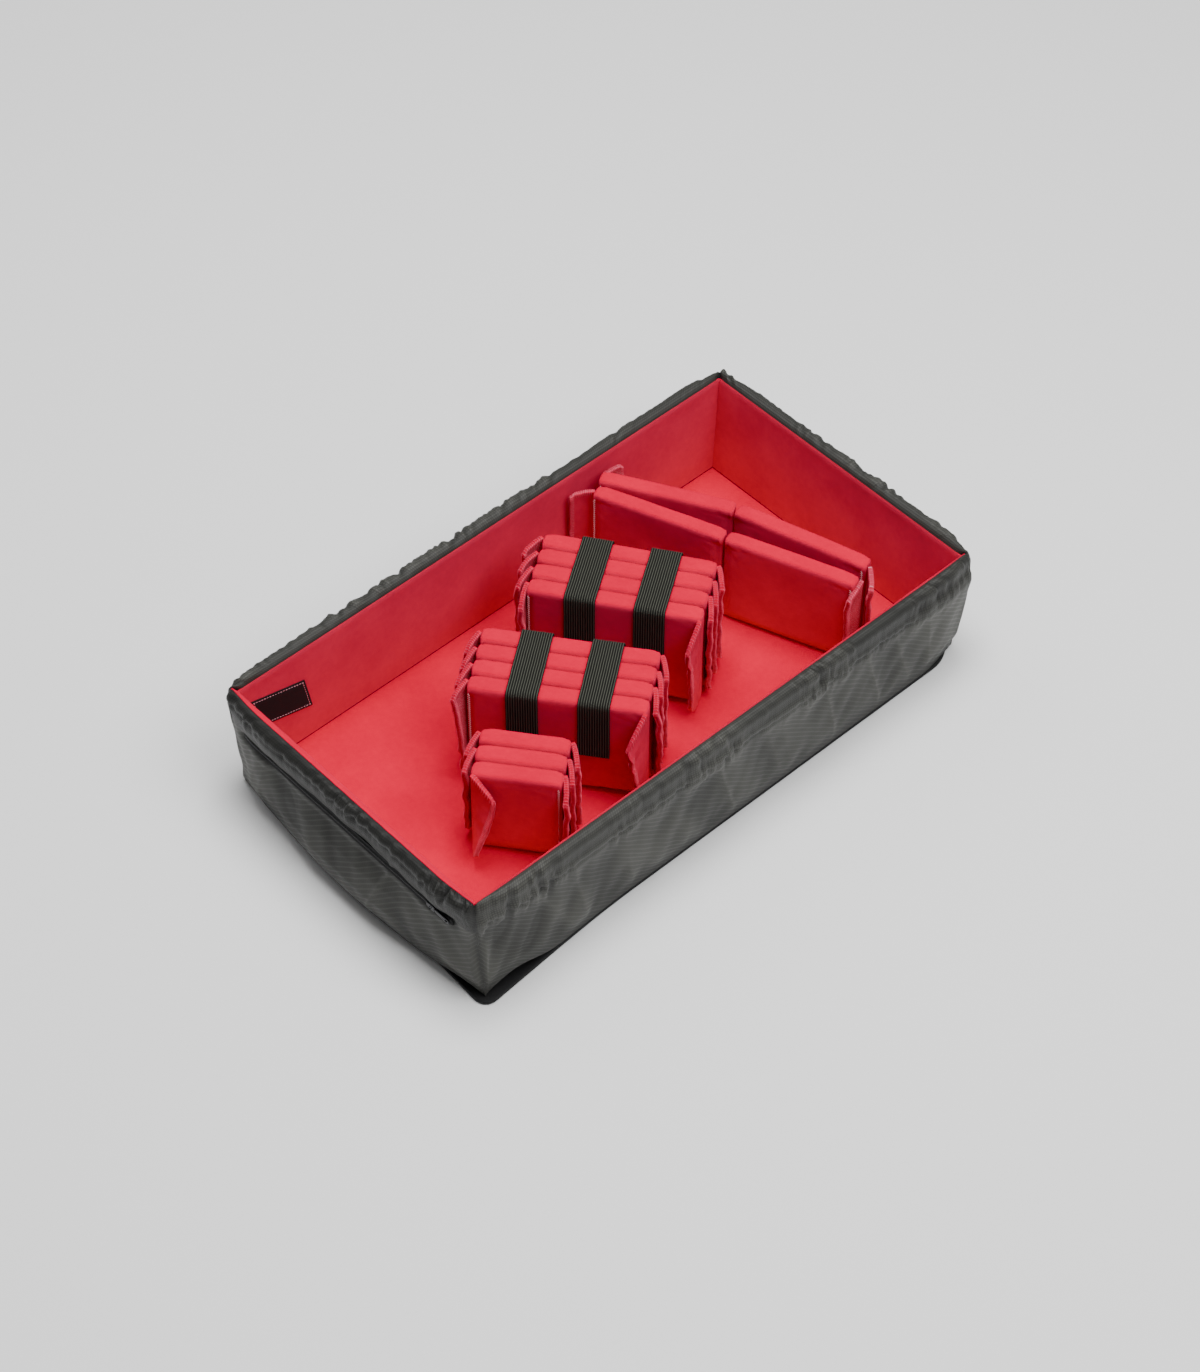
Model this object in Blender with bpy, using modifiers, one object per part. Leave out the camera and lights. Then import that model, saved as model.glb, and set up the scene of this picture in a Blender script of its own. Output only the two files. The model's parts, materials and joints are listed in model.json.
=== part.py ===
"""Padded divider insert for a hard camera case.

An open tub of foam walls, red loop lining inside and grey nylon outside, on a stiff board.
In it stand loose padded dividers: two strapped bundles of four, a small set of three and a
folding pair of long ones. Every divider has a hook flap at each end that sticks to the lining.

Metres, +Z up, +X along the tub, origin at the middle of its underside.
"""

import math

import bmesh
import bpy
import numpy as np
from mathutils import Matrix, Vector
from mathutils.bvhtree import BVHTree

# Tub
INNER_LENGTH = 0.478
INNER_WIDTH = 0.259
TUB_HEIGHT = 0.105
MOUTH_LENGTH_GAIN = 0.016
MOUTH_WIDTH_GAIN = 0.007
LINING = 0.0012
WALL_FOAM = 0.0094
COVER = 0.001
FLOOR_FOAM = 0.004
BOARD = 0.003
BOARD_EDGE = 0.0008
BOARD_CORNER = 0.030
GAP = 0.0003
MITRE_GAP = 0.0004
TURN_IN = 0.001

# The walls are soft: the rim corners and the lower corners are drawn in, the sides belly out
CORNER_DRAW = 0.0062
CORNER_REACH = 0.045
END_BELLY = 0.008
SIDE_BELLY = 0.002
HEIGHT_SHARES = (0.0, 0.15, 0.29, 0.45, 0.58, 0.8, 1.0)
DRAW_SHARES = (1.0, 0.95, 0.9, 0.8, 0.75, 0.75, 1.0)
BELLY_SHARES = (0.1, 0.75, 1.0, 0.6, 0.0, 0.0, 0.0)
LONG_WALL_SHARES = (0.0, 0.3, 0.6, 0.8, 0.9, 1.0)
END_WALL_SHARES = (0.0, 0.25, 0.5, 0.66)
END_CORNER_SHARES = (0.91, 1.0)
ROLL_STEPS = 6

# Zip along the left end wall
ZIP_HEIGHT = 0.073
ZIP_SLOT = 0.007
ZIP_END_SPACE = 0.0115
ZIP_TAPE = 0.0008
ZIP_COIL_WIDTH = 0.0024
ZIP_COIL_RISE = 0.0009
SLIDER_LENGTH = 0.009
SLIDER_WIDTH = 0.0056
SLIDER_RISE = 0.0029
SLIDER_END_SPACE = 0.021
SLIDER_EDGE = 0.0006
PULL_LENGTH = 0.0155
PULL_WIDTH = 0.0048
PULL_THICKNESS = 0.0014
PULL_EYE = 0.0016
CUT_OVERRUN = 0.002

# Sewn patch on the back wall
PATCH_LENGTH = 0.052
PATCH_HEIGHT = 0.032
PATCH_THICKNESS = 0.0012
PATCH_CORNER = 0.0012
PATCH_END_SPACE = 0.0285
PATCH_MIDDLE_HEIGHT = 0.0615
PATCH_TILT_DEG = 14.0

# Dividers
FLOOR_CLEARANCE = 0.0003
MEDIUM_LENGTH = 0.137
MEDIUM_HEIGHT = 0.0985
MEDIUM_THICKNESS = 0.0159
SMALL_LENGTH = 0.0685
SMALL_HEIGHT = 0.086
SMALL_THICKNESS = 0.0157
LONG_HEIGHT = 0.088
LONG_THICKNESS = 0.0142
# The long pair spans the tub, so its left and right panels are shares of the inner width
LONG_FRONT_LENGTH_SHARES = (0.4324, 0.4247)
LONG_BACK_LENGTH_SHARES = (0.4286, 0.4479)
CREASE_GAP = 0.0012
STACK_GAP = 0.0003
SEAM_INSET = 0.006
EDGE_DRAW = 0.0012
SIDE_DRAW = 0.0008

# Where each set's back left corner stands, and the turn of its length from +X
FAR_CORNER = (0.0268, 0.0983)
FAR_TURN_DEG = -55.6
MIDDLE_CORNER = (-0.0730, 0.0573)
MIDDLE_TURN_DEG = -52.9
SMALL_CORNER = (-0.1323, -0.0083)
SMALL_TURN_DEG = -52.0
LONG_FRONT_PLACE = 0.0996
LONG_FRONT_WALL_SPACE = 0.0137
LONG_FRONT_TURN_DEG = -68.6
LONG_FRONT_BEND_DEG = -0.4
LONG_BACK_PLACE = 0.1122
LONG_BACK_WALL_SPACE = 0.0043
LONG_BACK_TURN_DEG = -60.8
LONG_BACK_BEND_DEG = -12.4

# Hook flaps
FLAP_WIDTH = 0.021
FLAP_THICKNESS = 0.0022
FLAP_HEIGHT_SHARE = 0.93
FLAP_TOP_DROP = 0.008
FLAP_FOOT_RISE = 0.007
FLAP_SEAM_GAP = 0.0003
FLAP_COLUMN_SHARES = (0.33, 0.67)
FLAP_FOOT_SHARE = 0.35
# One pair for each flap, the back divider's first: the fold towards the front, and the place of
# its seam through the divider's end, from 0 at the back to 1 at the front
FAR_LEFT_FOLDS = ((48.0, 0.3), (52.0, 0.3), (58.0, 0.3), (62.0, 0.3))
FAR_RIGHT_FOLDS = ((67.0, 0.25), (69.0, 0.25), (71.0, 0.25), (114.0, 0.93))
MIDDLE_LEFT_FOLDS = ((58.0, 0.3), (60.0, 0.3), (61.0, 0.3), (62.0, 0.3))
MIDDLE_RIGHT_FOLDS = ((66.0, 0.25), (69.0, 0.25), (71.0, 0.25), (122.0, 0.93))
SMALL_LEFT_FOLDS = ((66.0, 0.3), (70.0, 0.3), (126.0, 0.93))
SMALL_RIGHT_FOLDS = ((62.0, 0.25), (66.0, 0.25), (72.0, 0.25))
LONG_FRONT_LEFT_FOLD = (0.0, 0.4)
LONG_FRONT_RIGHT_FOLD = (94.0, 0.1)
LONG_BACK_LEFT_FOLD = (-116.0, 0.06)
LONG_BACK_RIGHT_FOLD = (55.0, 0.5)
FLAP_CURL_DEG = 14.0
WALL_FLAP_CURL_DEG = 56.0

# Elastic straps over the bundles
STRAP_WIDTH = 0.025
STRAP_THICKNESS = 0.0014
STRAP_CLEARANCE = 0.0004
STRAP_LEG = 0.057
STRAP_BEND = 0.005
STRAP_BEND_STEPS = 3
STRAP_PLACES = (0.0425, 0.0965)

# Finish of the meshes
COLLECTION = "padded_case_divider"
CUTTERS = "cutters"
SHARP_DEG = 40.0
ROUND_SHARE = 0.98
EDGE_SHARE = 0.999
CORNER_STEPS = 5
SEAT_STEPS = 12

BOARD_TOP = BOARD
FLOOR_FOAM_BOTTOM = BOARD_TOP + GAP
LINING_BOTTOM = FLOOR_FOAM_BOTTOM + FLOOR_FOAM + GAP
FLOOR_TOP = LINING_BOTTOM + LINING
STAND = FLOOR_TOP + FLOOR_CLEARANCE
FOAM_INSIDE = LINING + GAP
FOAM_OUTSIDE = FOAM_INSIDE + WALL_FOAM
WALL = FOAM_OUTSIDE + GAP + COVER
ROLL = WALL / 2
ROLL_HEIGHT = TUB_HEIGHT - ROLL
LINING_TOP = ROLL_HEIGHT - TURN_IN - GAP
ZIP_LENGTH = INNER_WIDTH - 2 * ZIP_END_SPACE
SLIDER_PLACE = SLIDER_END_SPACE - ZIP_LENGTH / 2
PATCH_PLACE = PATCH_END_SPACE - INNER_LENGTH / 2
BOARD_LENGTH = INNER_LENGTH + 2 * (WALL + BOARD_EDGE)
BOARD_WIDTH = INNER_WIDTH + 2 * (WALL + BOARD_EDGE)

WALLS = {
    "front": Vector((0, -1)),
    "back": Vector((0, 1)),
    "left": Vector((-1, 0)),
    "right": Vector((1, 0)),
}


def material(name, colour, roughness, metallic=0.0):
    made = bpy.data.materials.new(name)
    made.use_nodes = True
    shader = made.node_tree.nodes["Principled BSDF"]
    shader.inputs["Base Color"].default_value = (*colour, 1)
    shader.inputs["Roughness"].default_value = roughness
    shader.inputs["Metallic"].default_value = metallic
    return made


def add(name, mesh, surface, parent=None):
    """One named piece in the model's collection."""
    piece = bpy.data.objects.new(name, mesh)
    mesh.materials.clear()
    mesh.materials.append(surface)
    bpy.data.collections[COLLECTION].objects.link(piece)
    piece.parent = parent
    return piece


def mesh_from(bm, name):
    """Finish a bmesh as a smooth-shaded mesh with its faces pointing out."""
    bmesh.ops.recalc_face_normals(bm, faces=bm.faces)
    if bm.calc_volume(signed=True) < 0:
        bmesh.ops.reverse_faces(bm, faces=bm.faces)
    mesh = bpy.data.meshes.new(name)
    bm.to_mesh(mesh)
    bm.free()
    mesh.shade_smooth()
    mesh.set_sharp_from_angle(angle=math.radians(SHARP_DEG))
    return mesh


def evaluated(mesh, modifier_type, **settings):
    """The mesh after one modifier, so that it can be bent afterwards."""
    holder = bpy.data.objects.new("holder", mesh)
    bpy.context.scene.collection.objects.link(holder)
    modifier = holder.modifiers.new("step", modifier_type)
    for setting, value in settings.items():
        setattr(modifier, setting, value)
    graph = bpy.context.evaluated_depsgraph_get()
    result = bpy.data.meshes.new_from_object(holder.evaluated_get(graph))
    bpy.data.objects.remove(holder)
    return result


def box(size, middle):
    """A bmesh box of the given size about its middle."""
    bm = bmesh.new()
    bmesh.ops.create_cube(bm, size=1)
    bmesh.ops.scale(bm, vec=Vector(size), verts=bm.verts)
    bmesh.ops.translate(bm, vec=Vector(middle), verts=bm.verts)
    return bm


def cut_across(bm, axis, places):
    """Add an edge loop around the mesh at each place along one axis."""
    normal = Vector([float(axis == n) for n in range(3)])
    for place in places:
        everything = bm.verts[:] + bm.edges[:] + bm.faces[:]
        bmesh.ops.bisect_plane(bm, geom=everything, plane_co=normal * place, plane_no=normal)


def sweep(profile, stations, closed):
    """Extrude a profile of (y, z) points along x through the stations."""
    bm = bmesh.new()
    row = [bm.verts.new((stations[0], y, z)) for y, z in profile]
    pairs = list(zip(row, row[1:]))
    if closed:
        pairs.append((row[-1], row[0]))
    edges = [bm.edges.new(pair) for pair in pairs]
    if closed:
        bm.faces.new(row)
    for before, here in zip(stations, stations[1:]):
        new = bmesh.ops.extrude_edge_only(bm, edges=edges)["geom"]
        moved = [g for g in new if isinstance(g, bmesh.types.BMVert)]
        bmesh.ops.translate(bm, vec=(here - before, 0, 0), verts=moved)
        edges = [g for g in new if isinstance(g, bmesh.types.BMEdge)]
    if closed:
        bmesh.ops.contextual_create(bm, geom=edges)
    return bm


def mirrored(shares):
    return [-share for share in reversed(shares[1:])] + list(shares)


def half_inside(height):
    """Half the length and width between the lining's faces at a height: the mouth is wider."""
    rise = height / TUB_HEIGHT
    half_x = INNER_LENGTH / 2 + MOUTH_LENGTH_GAIN / 2 * rise
    half_y = INNER_WIDTH / 2 + MOUTH_WIDTH_GAIN / 2 * rise
    return half_x, half_y


def softened(x, y, z):
    """Move a point of the straight-sided tub to where the soft wall really stands."""
    half_x, half_y = half_inside(z)
    rise = z / TUB_HEIGHT
    draw = CORNER_DRAW * np.interp(rise, HEIGHT_SHARES, DRAW_SHARES)
    belly = float(np.interp(rise, HEIGHT_SHARES, BELLY_SHARES))

    def through_foam(distance, half):
        return min(max((abs(distance) - half - FOAM_INSIDE) / WALL_FOAM, 0.0), 1.0)

    def near_corner(distance, half):
        away = min(max((half + WALL - abs(distance)) / CORNER_REACH, 0.0), 1.0)
        return (1 + math.cos(math.pi * away)) / 2

    def bowed(distance, half):
        return math.cos(math.pi / 2 * min(abs(distance) / (half + WALL), 1.0))

    move_x = END_BELLY * belly * bowed(y, half_y) - draw * near_corner(y, half_y)
    move_y = SIDE_BELLY * belly * bowed(x, half_x) - draw * near_corner(x, half_x)
    soft_x = x + math.copysign(1, x) * move_x * through_foam(x, half_x)
    soft_y = y + math.copysign(1, y) * move_y * through_foam(y, half_y)
    return soft_x, soft_y, z


def wall_point(wall, share, depth, height):
    """A point of a wall: share along it from -1 to 1, depth through it, height up it."""
    half_x, half_y = half_inside(height)
    out = WALLS[wall]
    if out.x:
        x = out.x * (half_x + depth)
        y = share * (half_y + depth - MITRE_GAP / 2)
    else:
        x = share * (half_x + depth - MITRE_GAP / 2)
        y = out.y * (half_y + depth)
    return softened(x, y, height)


def hang_on_wall(mesh, wall):
    """Carry a straight strip, with x as share, y as depth and z as height, to its wall."""
    bm = bmesh.new()
    bm.from_mesh(mesh)
    for vert in bm.verts:
        vert.co = wall_point(wall, vert.co.x, vert.co.y, vert.co.z)
    return mesh_from(bm, mesh.name)


def wall_shares(wall):
    if wall in ("front", "back"):
        return mirrored(LONG_WALL_SHARES)
    return mirrored(END_WALL_SHARES + (zip_end_share(),) + END_CORNER_SHARES)


def zip_end_share():
    half_y = half_inside(ZIP_HEIGHT)[1]
    return ZIP_LENGTH / 2 / (half_y + WALL)


def row_heights(bottom):
    """Heights of the rows of the straight part of a wall, from its bottom to the rolled rim."""
    rows = [share * TUB_HEIGHT for share in HEIGHT_SHARES[1:-1]]
    rows += [ZIP_HEIGHT - ZIP_SLOT / 2, ZIP_HEIGHT + ZIP_SLOT / 2]
    return [bottom] + sorted(rows)


def rim_arc(radius, middle_depth):
    """The rolled rim from the outside over to the inside."""
    turns = [math.pi * step / ROLL_STEPS for step in range(ROLL_STEPS + 1)]
    return [
        (middle_depth + radius * math.cos(turn), ROLL_HEIGHT + radius * math.sin(turn))
        for turn in turns
    ]


def wall_foam(wall, surface):
    bottom = FLOOR_FOAM_BOTTOM
    profile = [(FOAM_OUTSIDE, height) for height in row_heights(bottom)]
    profile += rim_arc(WALL_FOAM / 2, (FOAM_INSIDE + FOAM_OUTSIDE) / 2)
    profile.append((FOAM_INSIDE, bottom))
    bm = sweep(profile, wall_shares(wall), closed=True)
    strip = mesh_from(bm, wall + "_wall_foam")
    return add(wall + "_wall_foam", hang_on_wall(strip, wall), surface)


def wall_cover(wall, surface):
    """Nylon from the board up, over the foam and a little way down inside."""
    profile = [(WALL, height) for height in row_heights(BOARD_TOP + GAP)]
    profile += rim_arc(ROLL, ROLL)
    profile.append((0, ROLL_HEIGHT - TURN_IN))
    bm = sweep(profile, wall_shares(wall), closed=False)
    if wall == "left":
        cut_zip_slot(bm)
    mesh = bpy.data.meshes.new(wall + "_cover")
    bm.to_mesh(mesh)
    bm.free()
    shell = evaluated(mesh, "SOLIDIFY", thickness=COVER, offset=1, use_even_offset=True)
    shell.name = wall + "_cover"
    return add(wall + "_cover", hang_on_wall(shell, wall), surface)


def cut_zip_slot(bm):
    """Take out the faces of the flat strip where the zip shows."""
    end = zip_end_share()
    slot = []
    for face in bm.faces:
        middle = face.calc_center_median()
        if abs(middle.z - ZIP_HEIGHT) < ZIP_SLOT / 2 and abs(middle.x) < end:
            slot.append(face)
    bmesh.ops.delete(bm, geom=slot, context="FACES")


def lining(surface):
    """One open box of loop cloth: the floor and the four inner faces."""
    bm = box((1, 1, 1), (0, 0, 0))
    top = [face for face in bm.faces if face.normal.z > face.normal.length / 2]
    bmesh.ops.delete(bm, geom=top, context="FACES")
    for vert in bm.verts:
        height = LINING_TOP if vert.co.z > 0 else FLOOR_TOP
        half_x, half_y = half_inside(height)
        vert.co = (math.copysign(half_x, vert.co.x), math.copysign(half_y, vert.co.y), height)
    mesh = bpy.data.meshes.new("lining")
    bm.to_mesh(mesh)
    bm.free()
    piece = add("lining", mesh, surface)
    shell = piece.modifiers.new("cloth", "SOLIDIFY")
    shell.thickness = LINING
    shell.offset = 1
    shell.use_even_offset = True
    return piece


def rounded_sheet(name, length, width, corner, thickness, surface):
    """A flat sheet with round corners, from a filled outline."""
    curve = bpy.data.curves.new(name, "CURVE")
    curve.dimensions = "2D"
    curve.fill_mode = "BOTH"
    curve.extrude = thickness / 2
    points = []
    for quarter in range(4):
        turn = math.pi / 2 * quarter
        side_x = 1 if quarter in (0, 3) else -1
        side_y = 1 if quarter in (0, 1) else -1
        for step in range(CORNER_STEPS + 1):
            angle = turn + math.pi / 2 * step / CORNER_STEPS
            x = side_x * (length / 2 - corner) + corner * math.cos(angle)
            y = side_y * (width / 2 - corner) + corner * math.sin(angle)
            points.append((x, y))
    spline = curve.splines.new("POLY")
    spline.points.add(len(points) - 1)
    for point, (x, y) in zip(spline.points, points):
        point.co = (x, y, 0, 1)
    spline.use_cyclic_u = True
    piece = bpy.data.objects.new(name, curve)
    curve.materials.append(surface)
    bpy.data.collections[COLLECTION].objects.link(piece)
    return piece


def base_board(surface):
    piece = rounded_sheet("base_board", BOARD_LENGTH, BOARD_WIDTH, BOARD_CORNER, BOARD, surface)
    piece.location.z = BOARD / 2
    return piece


def floor_foam(surface):
    half_x = INNER_LENGTH / 2 + LINING
    half_y = INNER_WIDTH / 2 + LINING
    middle = FLOOR_FOAM_BOTTOM + FLOOR_FOAM / 2
    bm = box((2 * half_x, 2 * half_y, FLOOR_FOAM), (0, 0, middle))
    return add("floor_foam", mesh_from(bm, "floor_foam"), surface)


def zip_face():
    """How far out, along -X, the cover's face stands at the zip."""
    return half_inside(ZIP_HEIGHT)[0] + WALL


def coil_crest():
    """How far out, along -X, the zip's coil stands."""
    return zip_face() - COVER + ZIP_TAPE + ZIP_COIL_RISE


def zip_tape(surface):
    """Tape and coil in the slot, flush with the cover."""
    half = ZIP_SLOT / 2 - GAP
    coil = ZIP_COIL_WIDTH / 2
    inside = WALL - COVER
    face = inside + ZIP_TAPE
    crest = face + ZIP_COIL_RISE
    profile = [
        (inside, -half),
        (face, -half),
        (face, -coil),
        (crest, -coil / 2),
        (crest, coil / 2),
        (face, coil),
        (face, half),
        (inside, half),
    ]
    profile = [(depth, ZIP_HEIGHT + height) for depth, height in profile]
    end = zip_end_share() - GAP / (INNER_WIDTH / 2)
    stations = mirrored(END_WALL_SHARES + (end,))
    strip = mesh_from(sweep(profile, stations, closed=True), "zip_tape")
    return add("zip_tape", hang_on_wall(strip, "left"), surface)


def zip_slider(surface):
    """A body astride the coil, its groove cut out."""
    low = zip_face() + GAP
    bm = box((SLIDER_RISE, SLIDER_LENGTH, SLIDER_WIDTH), (0, 0, 0))
    upright = [edge for edge in bm.edges if abs(edge.verts[0].co.x - edge.verts[1].co.x) > 0]
    bmesh.ops.bevel(
        bm, geom=upright, offset=SLIDER_EDGE, segments=2, profile=0.5, affect="EDGES"
    )
    piece = add("zip_slider", mesh_from(bm, "zip_slider"), surface)
    piece.location = (-low - SLIDER_RISE / 2, SLIDER_PLACE, ZIP_HEIGHT)
    groove_size = (
        2 * (coil_crest() + GAP - low),
        SLIDER_LENGTH + 2 * CUT_OVERRUN,
        ZIP_COIL_WIDTH + 2 * GAP,
    )
    cutter = bpy.data.objects.new("slider_groove", mesh_from(box(groove_size, (0, 0, 0)), "groove"))
    bpy.data.collections[CUTTERS].objects.link(cutter)
    cutter.location = (-low, SLIDER_PLACE, ZIP_HEIGHT)
    cutter.hide_render = True
    cutter.display_type = "WIRE"
    groove = piece.modifiers.new("groove", "BOOLEAN")
    groove.operation = "DIFFERENCE"
    groove.object = cutter
    return piece


def zip_pull(surface):
    """A flat tab lying along the zip, its origin on its hinge at the slider's end."""
    radius = PULL_THICKNESS / 2
    bm = box((PULL_LENGTH, PULL_THICKNESS, PULL_WIDTH), (PULL_LENGTH / 2 - radius, 0, 0))
    root = [edge for edge in bm.edges if upright_at(edge, -radius)]
    nose = radius * ROUND_SHARE
    bmesh.ops.bevel(bm, geom=root, offset=nose, segments=2, profile=0.5, affect="EDGES")
    piece = add("zip_pull", mesh_from(bm, "zip_pull"), surface)
    depth = coil_crest() + GAP + radius
    piece.location = (-depth, SLIDER_PLACE - SLIDER_LENGTH / 2 - GAP - radius, ZIP_HEIGHT)
    piece.rotation_euler.z = -math.pi / 2
    eye_size = (2 * PULL_EYE, PULL_THICKNESS + 2 * CUT_OVERRUN, PULL_EYE)
    eye = bpy.data.objects.new("pull_eye", mesh_from(box(eye_size, (0, 0, 0)), "pull_eye"))
    bpy.data.collections[CUTTERS].objects.link(eye)
    eye.parent = piece
    eye.location.x = PULL_LENGTH - PULL_WIDTH
    eye.hide_render = True
    eye.display_type = "WIRE"
    hole = piece.modifiers.new("eye", "BOOLEAN")
    hole.operation = "DIFFERENCE"
    hole.object = eye
    return piece


def upright_at(edge, x):
    """Whether an edge runs up and down at this x."""
    first, second = (vert.co for vert in edge.verts)
    level = abs(first.x - x) < GAP and abs(second.x - x) < GAP
    return level and abs(first.z - second.z) > GAP


def patch(surface):
    """A sewn patch on the back wall's lining, leaning with it."""
    piece = rounded_sheet(
        "patch", PATCH_LENGTH, PATCH_HEIGHT, PATCH_CORNER, PATCH_THICKNESS, surface
    )
    lean = math.atan2(MOUTH_WIDTH_GAIN / 2, TUB_HEIGHT)
    out = half_inside(PATCH_MIDDLE_HEIGHT)[1] - (GAP + PATCH_THICKNESS / 2) / math.cos(lean)
    tilt = Matrix.Rotation(math.radians(-PATCH_TILT_DEG), 4, "Z")
    stand = Matrix.Rotation(math.pi / 2 - lean, 4, "X")
    place = Matrix.Translation((PATCH_PLACE, out, PATCH_MIDDLE_HEIGHT))
    piece.matrix_world = place @ stand @ tilt
    return piece


def padded_panel(name, length, thickness, height, surface, parent):
    """A foam pad in sewn cloth: crowned sides and drawn-in edges, soft at every corner."""
    bm = box((length, thickness, height), (0, 0, height / 2))
    cut_across(bm, 0, (-length / 2 + SEAM_INSET, 0, length / 2 - SEAM_INSET))
    cut_across(bm, 2, (SEAM_INSET, height / 2, height - SEAM_INSET))
    for vert in bm.verts:
        along = abs(vert.co.x) / (length / 2)
        up = abs(vert.co.z - height / 2) / (height / 2)
        if along > EDGE_SHARE or vert.co.z > EDGE_SHARE * height:
            vert.co.y -= math.copysign(EDGE_DRAW, vert.co.y)
        if along > EDGE_SHARE and up < 1 - EDGE_SHARE:
            vert.co.x -= math.copysign(SIDE_DRAW, vert.co.x)
    piece = add(name, mesh_from(bm, name), surface, parent)
    soft = piece.modifiers.new("soft", "SUBSURF")
    soft.levels = 1
    soft.render_levels = 1
    return piece


def flap(name, height, curl_deg, surface, parent):
    """A hook flap, its origin on its seam: a round root, a falling top and a rounded foot."""
    radius = FLAP_THICKNESS / 2
    tall = FLAP_HEIGHT_SHARE * height
    bm = box((FLAP_WIDTH, FLAP_THICKNESS, tall), (FLAP_WIDTH / 2 - radius, 0, 0))
    bmesh.ops.translate(bm, vec=(0, 0, tall / 2), verts=bm.verts)
    root = [edge for edge in bm.edges if upright_at(edge, -radius)]
    nose = radius * ROUND_SHARE
    bmesh.ops.bevel(bm, geom=root, offset=nose, segments=3, profile=0.5, affect="EDGES")
    reach = FLAP_WIDTH - radius
    cut_across(bm, 0, [reach * share for share in FLAP_COLUMN_SHARES])
    cut_across(bm, 2, (FLAP_FOOT_RISE,))
    for vert in bm.verts:
        out = max(vert.co.x, 0) / reach
        if vert.co.z > tall / 2:
            vert.co.z -= FLAP_TOP_DROP * out
        elif vert.co.z < FLAP_FOOT_RISE / 2:
            vert.co.z += FLAP_FOOT_RISE * out * out / 2
        curl_vert(vert, math.radians(curl_deg) / reach)
    return add(name, mesh_from(bm, name), surface, parent)


def curl_vert(vert, bend):
    """Roll the sheet beyond its seam into an arc of the given bend, in radians a metre."""
    if vert.co.x <= 0 or not bend:
        return
    turn = bend * vert.co.x
    normal = Vector((-math.sin(turn), math.cos(turn)))
    x = math.sin(turn) / bend + normal.x * vert.co.y
    y = (1 - math.cos(turn)) / bend + normal.y * vert.co.y
    vert.co.x = x
    vert.co.y = y


def hang_flap(name, panel, size, side, fold, curl_deg, surface):
    """Seat a flap on one end of a panel: side -1 is the left end and 1 the right one."""
    length, thickness, height = size
    fold_deg, seat_share = fold
    sheet = flap(name, height, -side * curl_deg, surface, panel)
    reach = length / 2 + FLAP_SEAM_GAP + FLAP_THICKNESS / 2
    foot = (height - FLAP_HEIGHT_SHARE * height) * FLAP_FOOT_SHARE
    sheet.location = (side * reach, (0.5 - seat_share) * thickness, foot)
    straight = 0 if side > 0 else math.pi
    sheet.rotation_euler.z = straight - side * math.radians(fold_deg)
    seat_flap(sheet, panel, side)
    return sheet


def seat_flap(sheet, panel, side):
    """Slide a flap along its panel until its root all but touches the soft end."""
    graph = bpy.context.evaluated_depsgraph_get()
    pad = BVHTree.FromObject(panel, graph)
    pad_verts = panel.evaluated_get(graph).to_mesh().vertices
    pad_points = [vert.co.copy() for vert in pad_verts]
    cloth = BVHTree.FromObject(sheet, graph)
    for _ in range(SEAT_STEPS):
        place = Matrix.LocRotScale(sheet.location, sheet.rotation_euler, None)
        back = place.inverted()
        spaces = [pad.find_nearest(place @ vert.co)[3] for vert in sheet.data.vertices]
        spaces += [cloth.find_nearest(back @ point)[3] for point in pad_points]
        sheet.location.x -= side * (min(spaces) - FLAP_SEAM_GAP)


def stand_at(name, corner, turn_deg):
    """An empty at a set's back left corner: its x runs along the set and its -y to the front."""
    stand = bpy.data.objects.new(name, None)
    bpy.data.collections[COLLECTION].objects.link(stand)
    stand.location = (*corner, STAND)
    stand.rotation_euler.z = math.radians(turn_deg)
    return stand


def divider(name, size, place, stand, surface):
    """One padded panel, its back at the place's y and its left end at its x."""
    length, thickness, height = size
    panel = padded_panel(name, length, thickness, height, surface, stand)
    panel.location = (place[0] + length / 2, place[1] - thickness / 2, 0)
    return panel


def divider_set(label, corner, turn_deg, size, left_folds, right_folds, surfaces):
    """Dividers side by side, each with its two flaps."""
    stand = stand_at(label + "_stand", corner, turn_deg)
    pitch = size[1] + STACK_GAP
    for number, (left, right) in enumerate(zip(left_folds, right_folds)):
        name = f"{label}_divider_{number + 1}"
        place = (0, -number * pitch)
        panel = divider(name, size, place, stand, surfaces["cloth"])
        hang_flap(name + "_left_flap", panel, size, -1, left, FLAP_CURL_DEG, surfaces["hook"])
        hang_flap(name + "_right_flap", panel, size, 1, right, FLAP_CURL_DEG, surfaces["hook"])
    return stand


def strap(name, stand, place, size, count, surface):
    """An elastic band over a bundle, down both sides to its sewn hems."""
    thickness, height = size[1], size[2]
    depth = count * thickness + (count - 1) * STACK_GAP
    half = depth / 2 + STRAP_CLEARANCE
    top = height + STRAP_CLEARANCE
    over = []
    for step in range(STRAP_BEND_STEPS + 1):
        turn = math.pi / 2 * step / STRAP_BEND_STEPS
        y = half - STRAP_BEND + STRAP_BEND * math.cos(turn)
        over.append((y, top - STRAP_BEND + STRAP_BEND * math.sin(turn)))
    path = [(half, top - STRAP_LEG)] + over
    path += [(-y, z) for y, z in reversed(path)]
    bm = sweep(path, (-STRAP_WIDTH / 2, STRAP_WIDTH / 2), closed=False)
    mesh = bpy.data.meshes.new(name)
    bm.to_mesh(mesh)
    bm.free()
    band = evaluated(mesh, "SOLIDIFY", thickness=STRAP_THICKNESS, offset=-1, use_even_offset=True)
    piece = add(name, band, surface, stand)
    piece.location = (place, -depth / 2, 0)
    return piece


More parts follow.
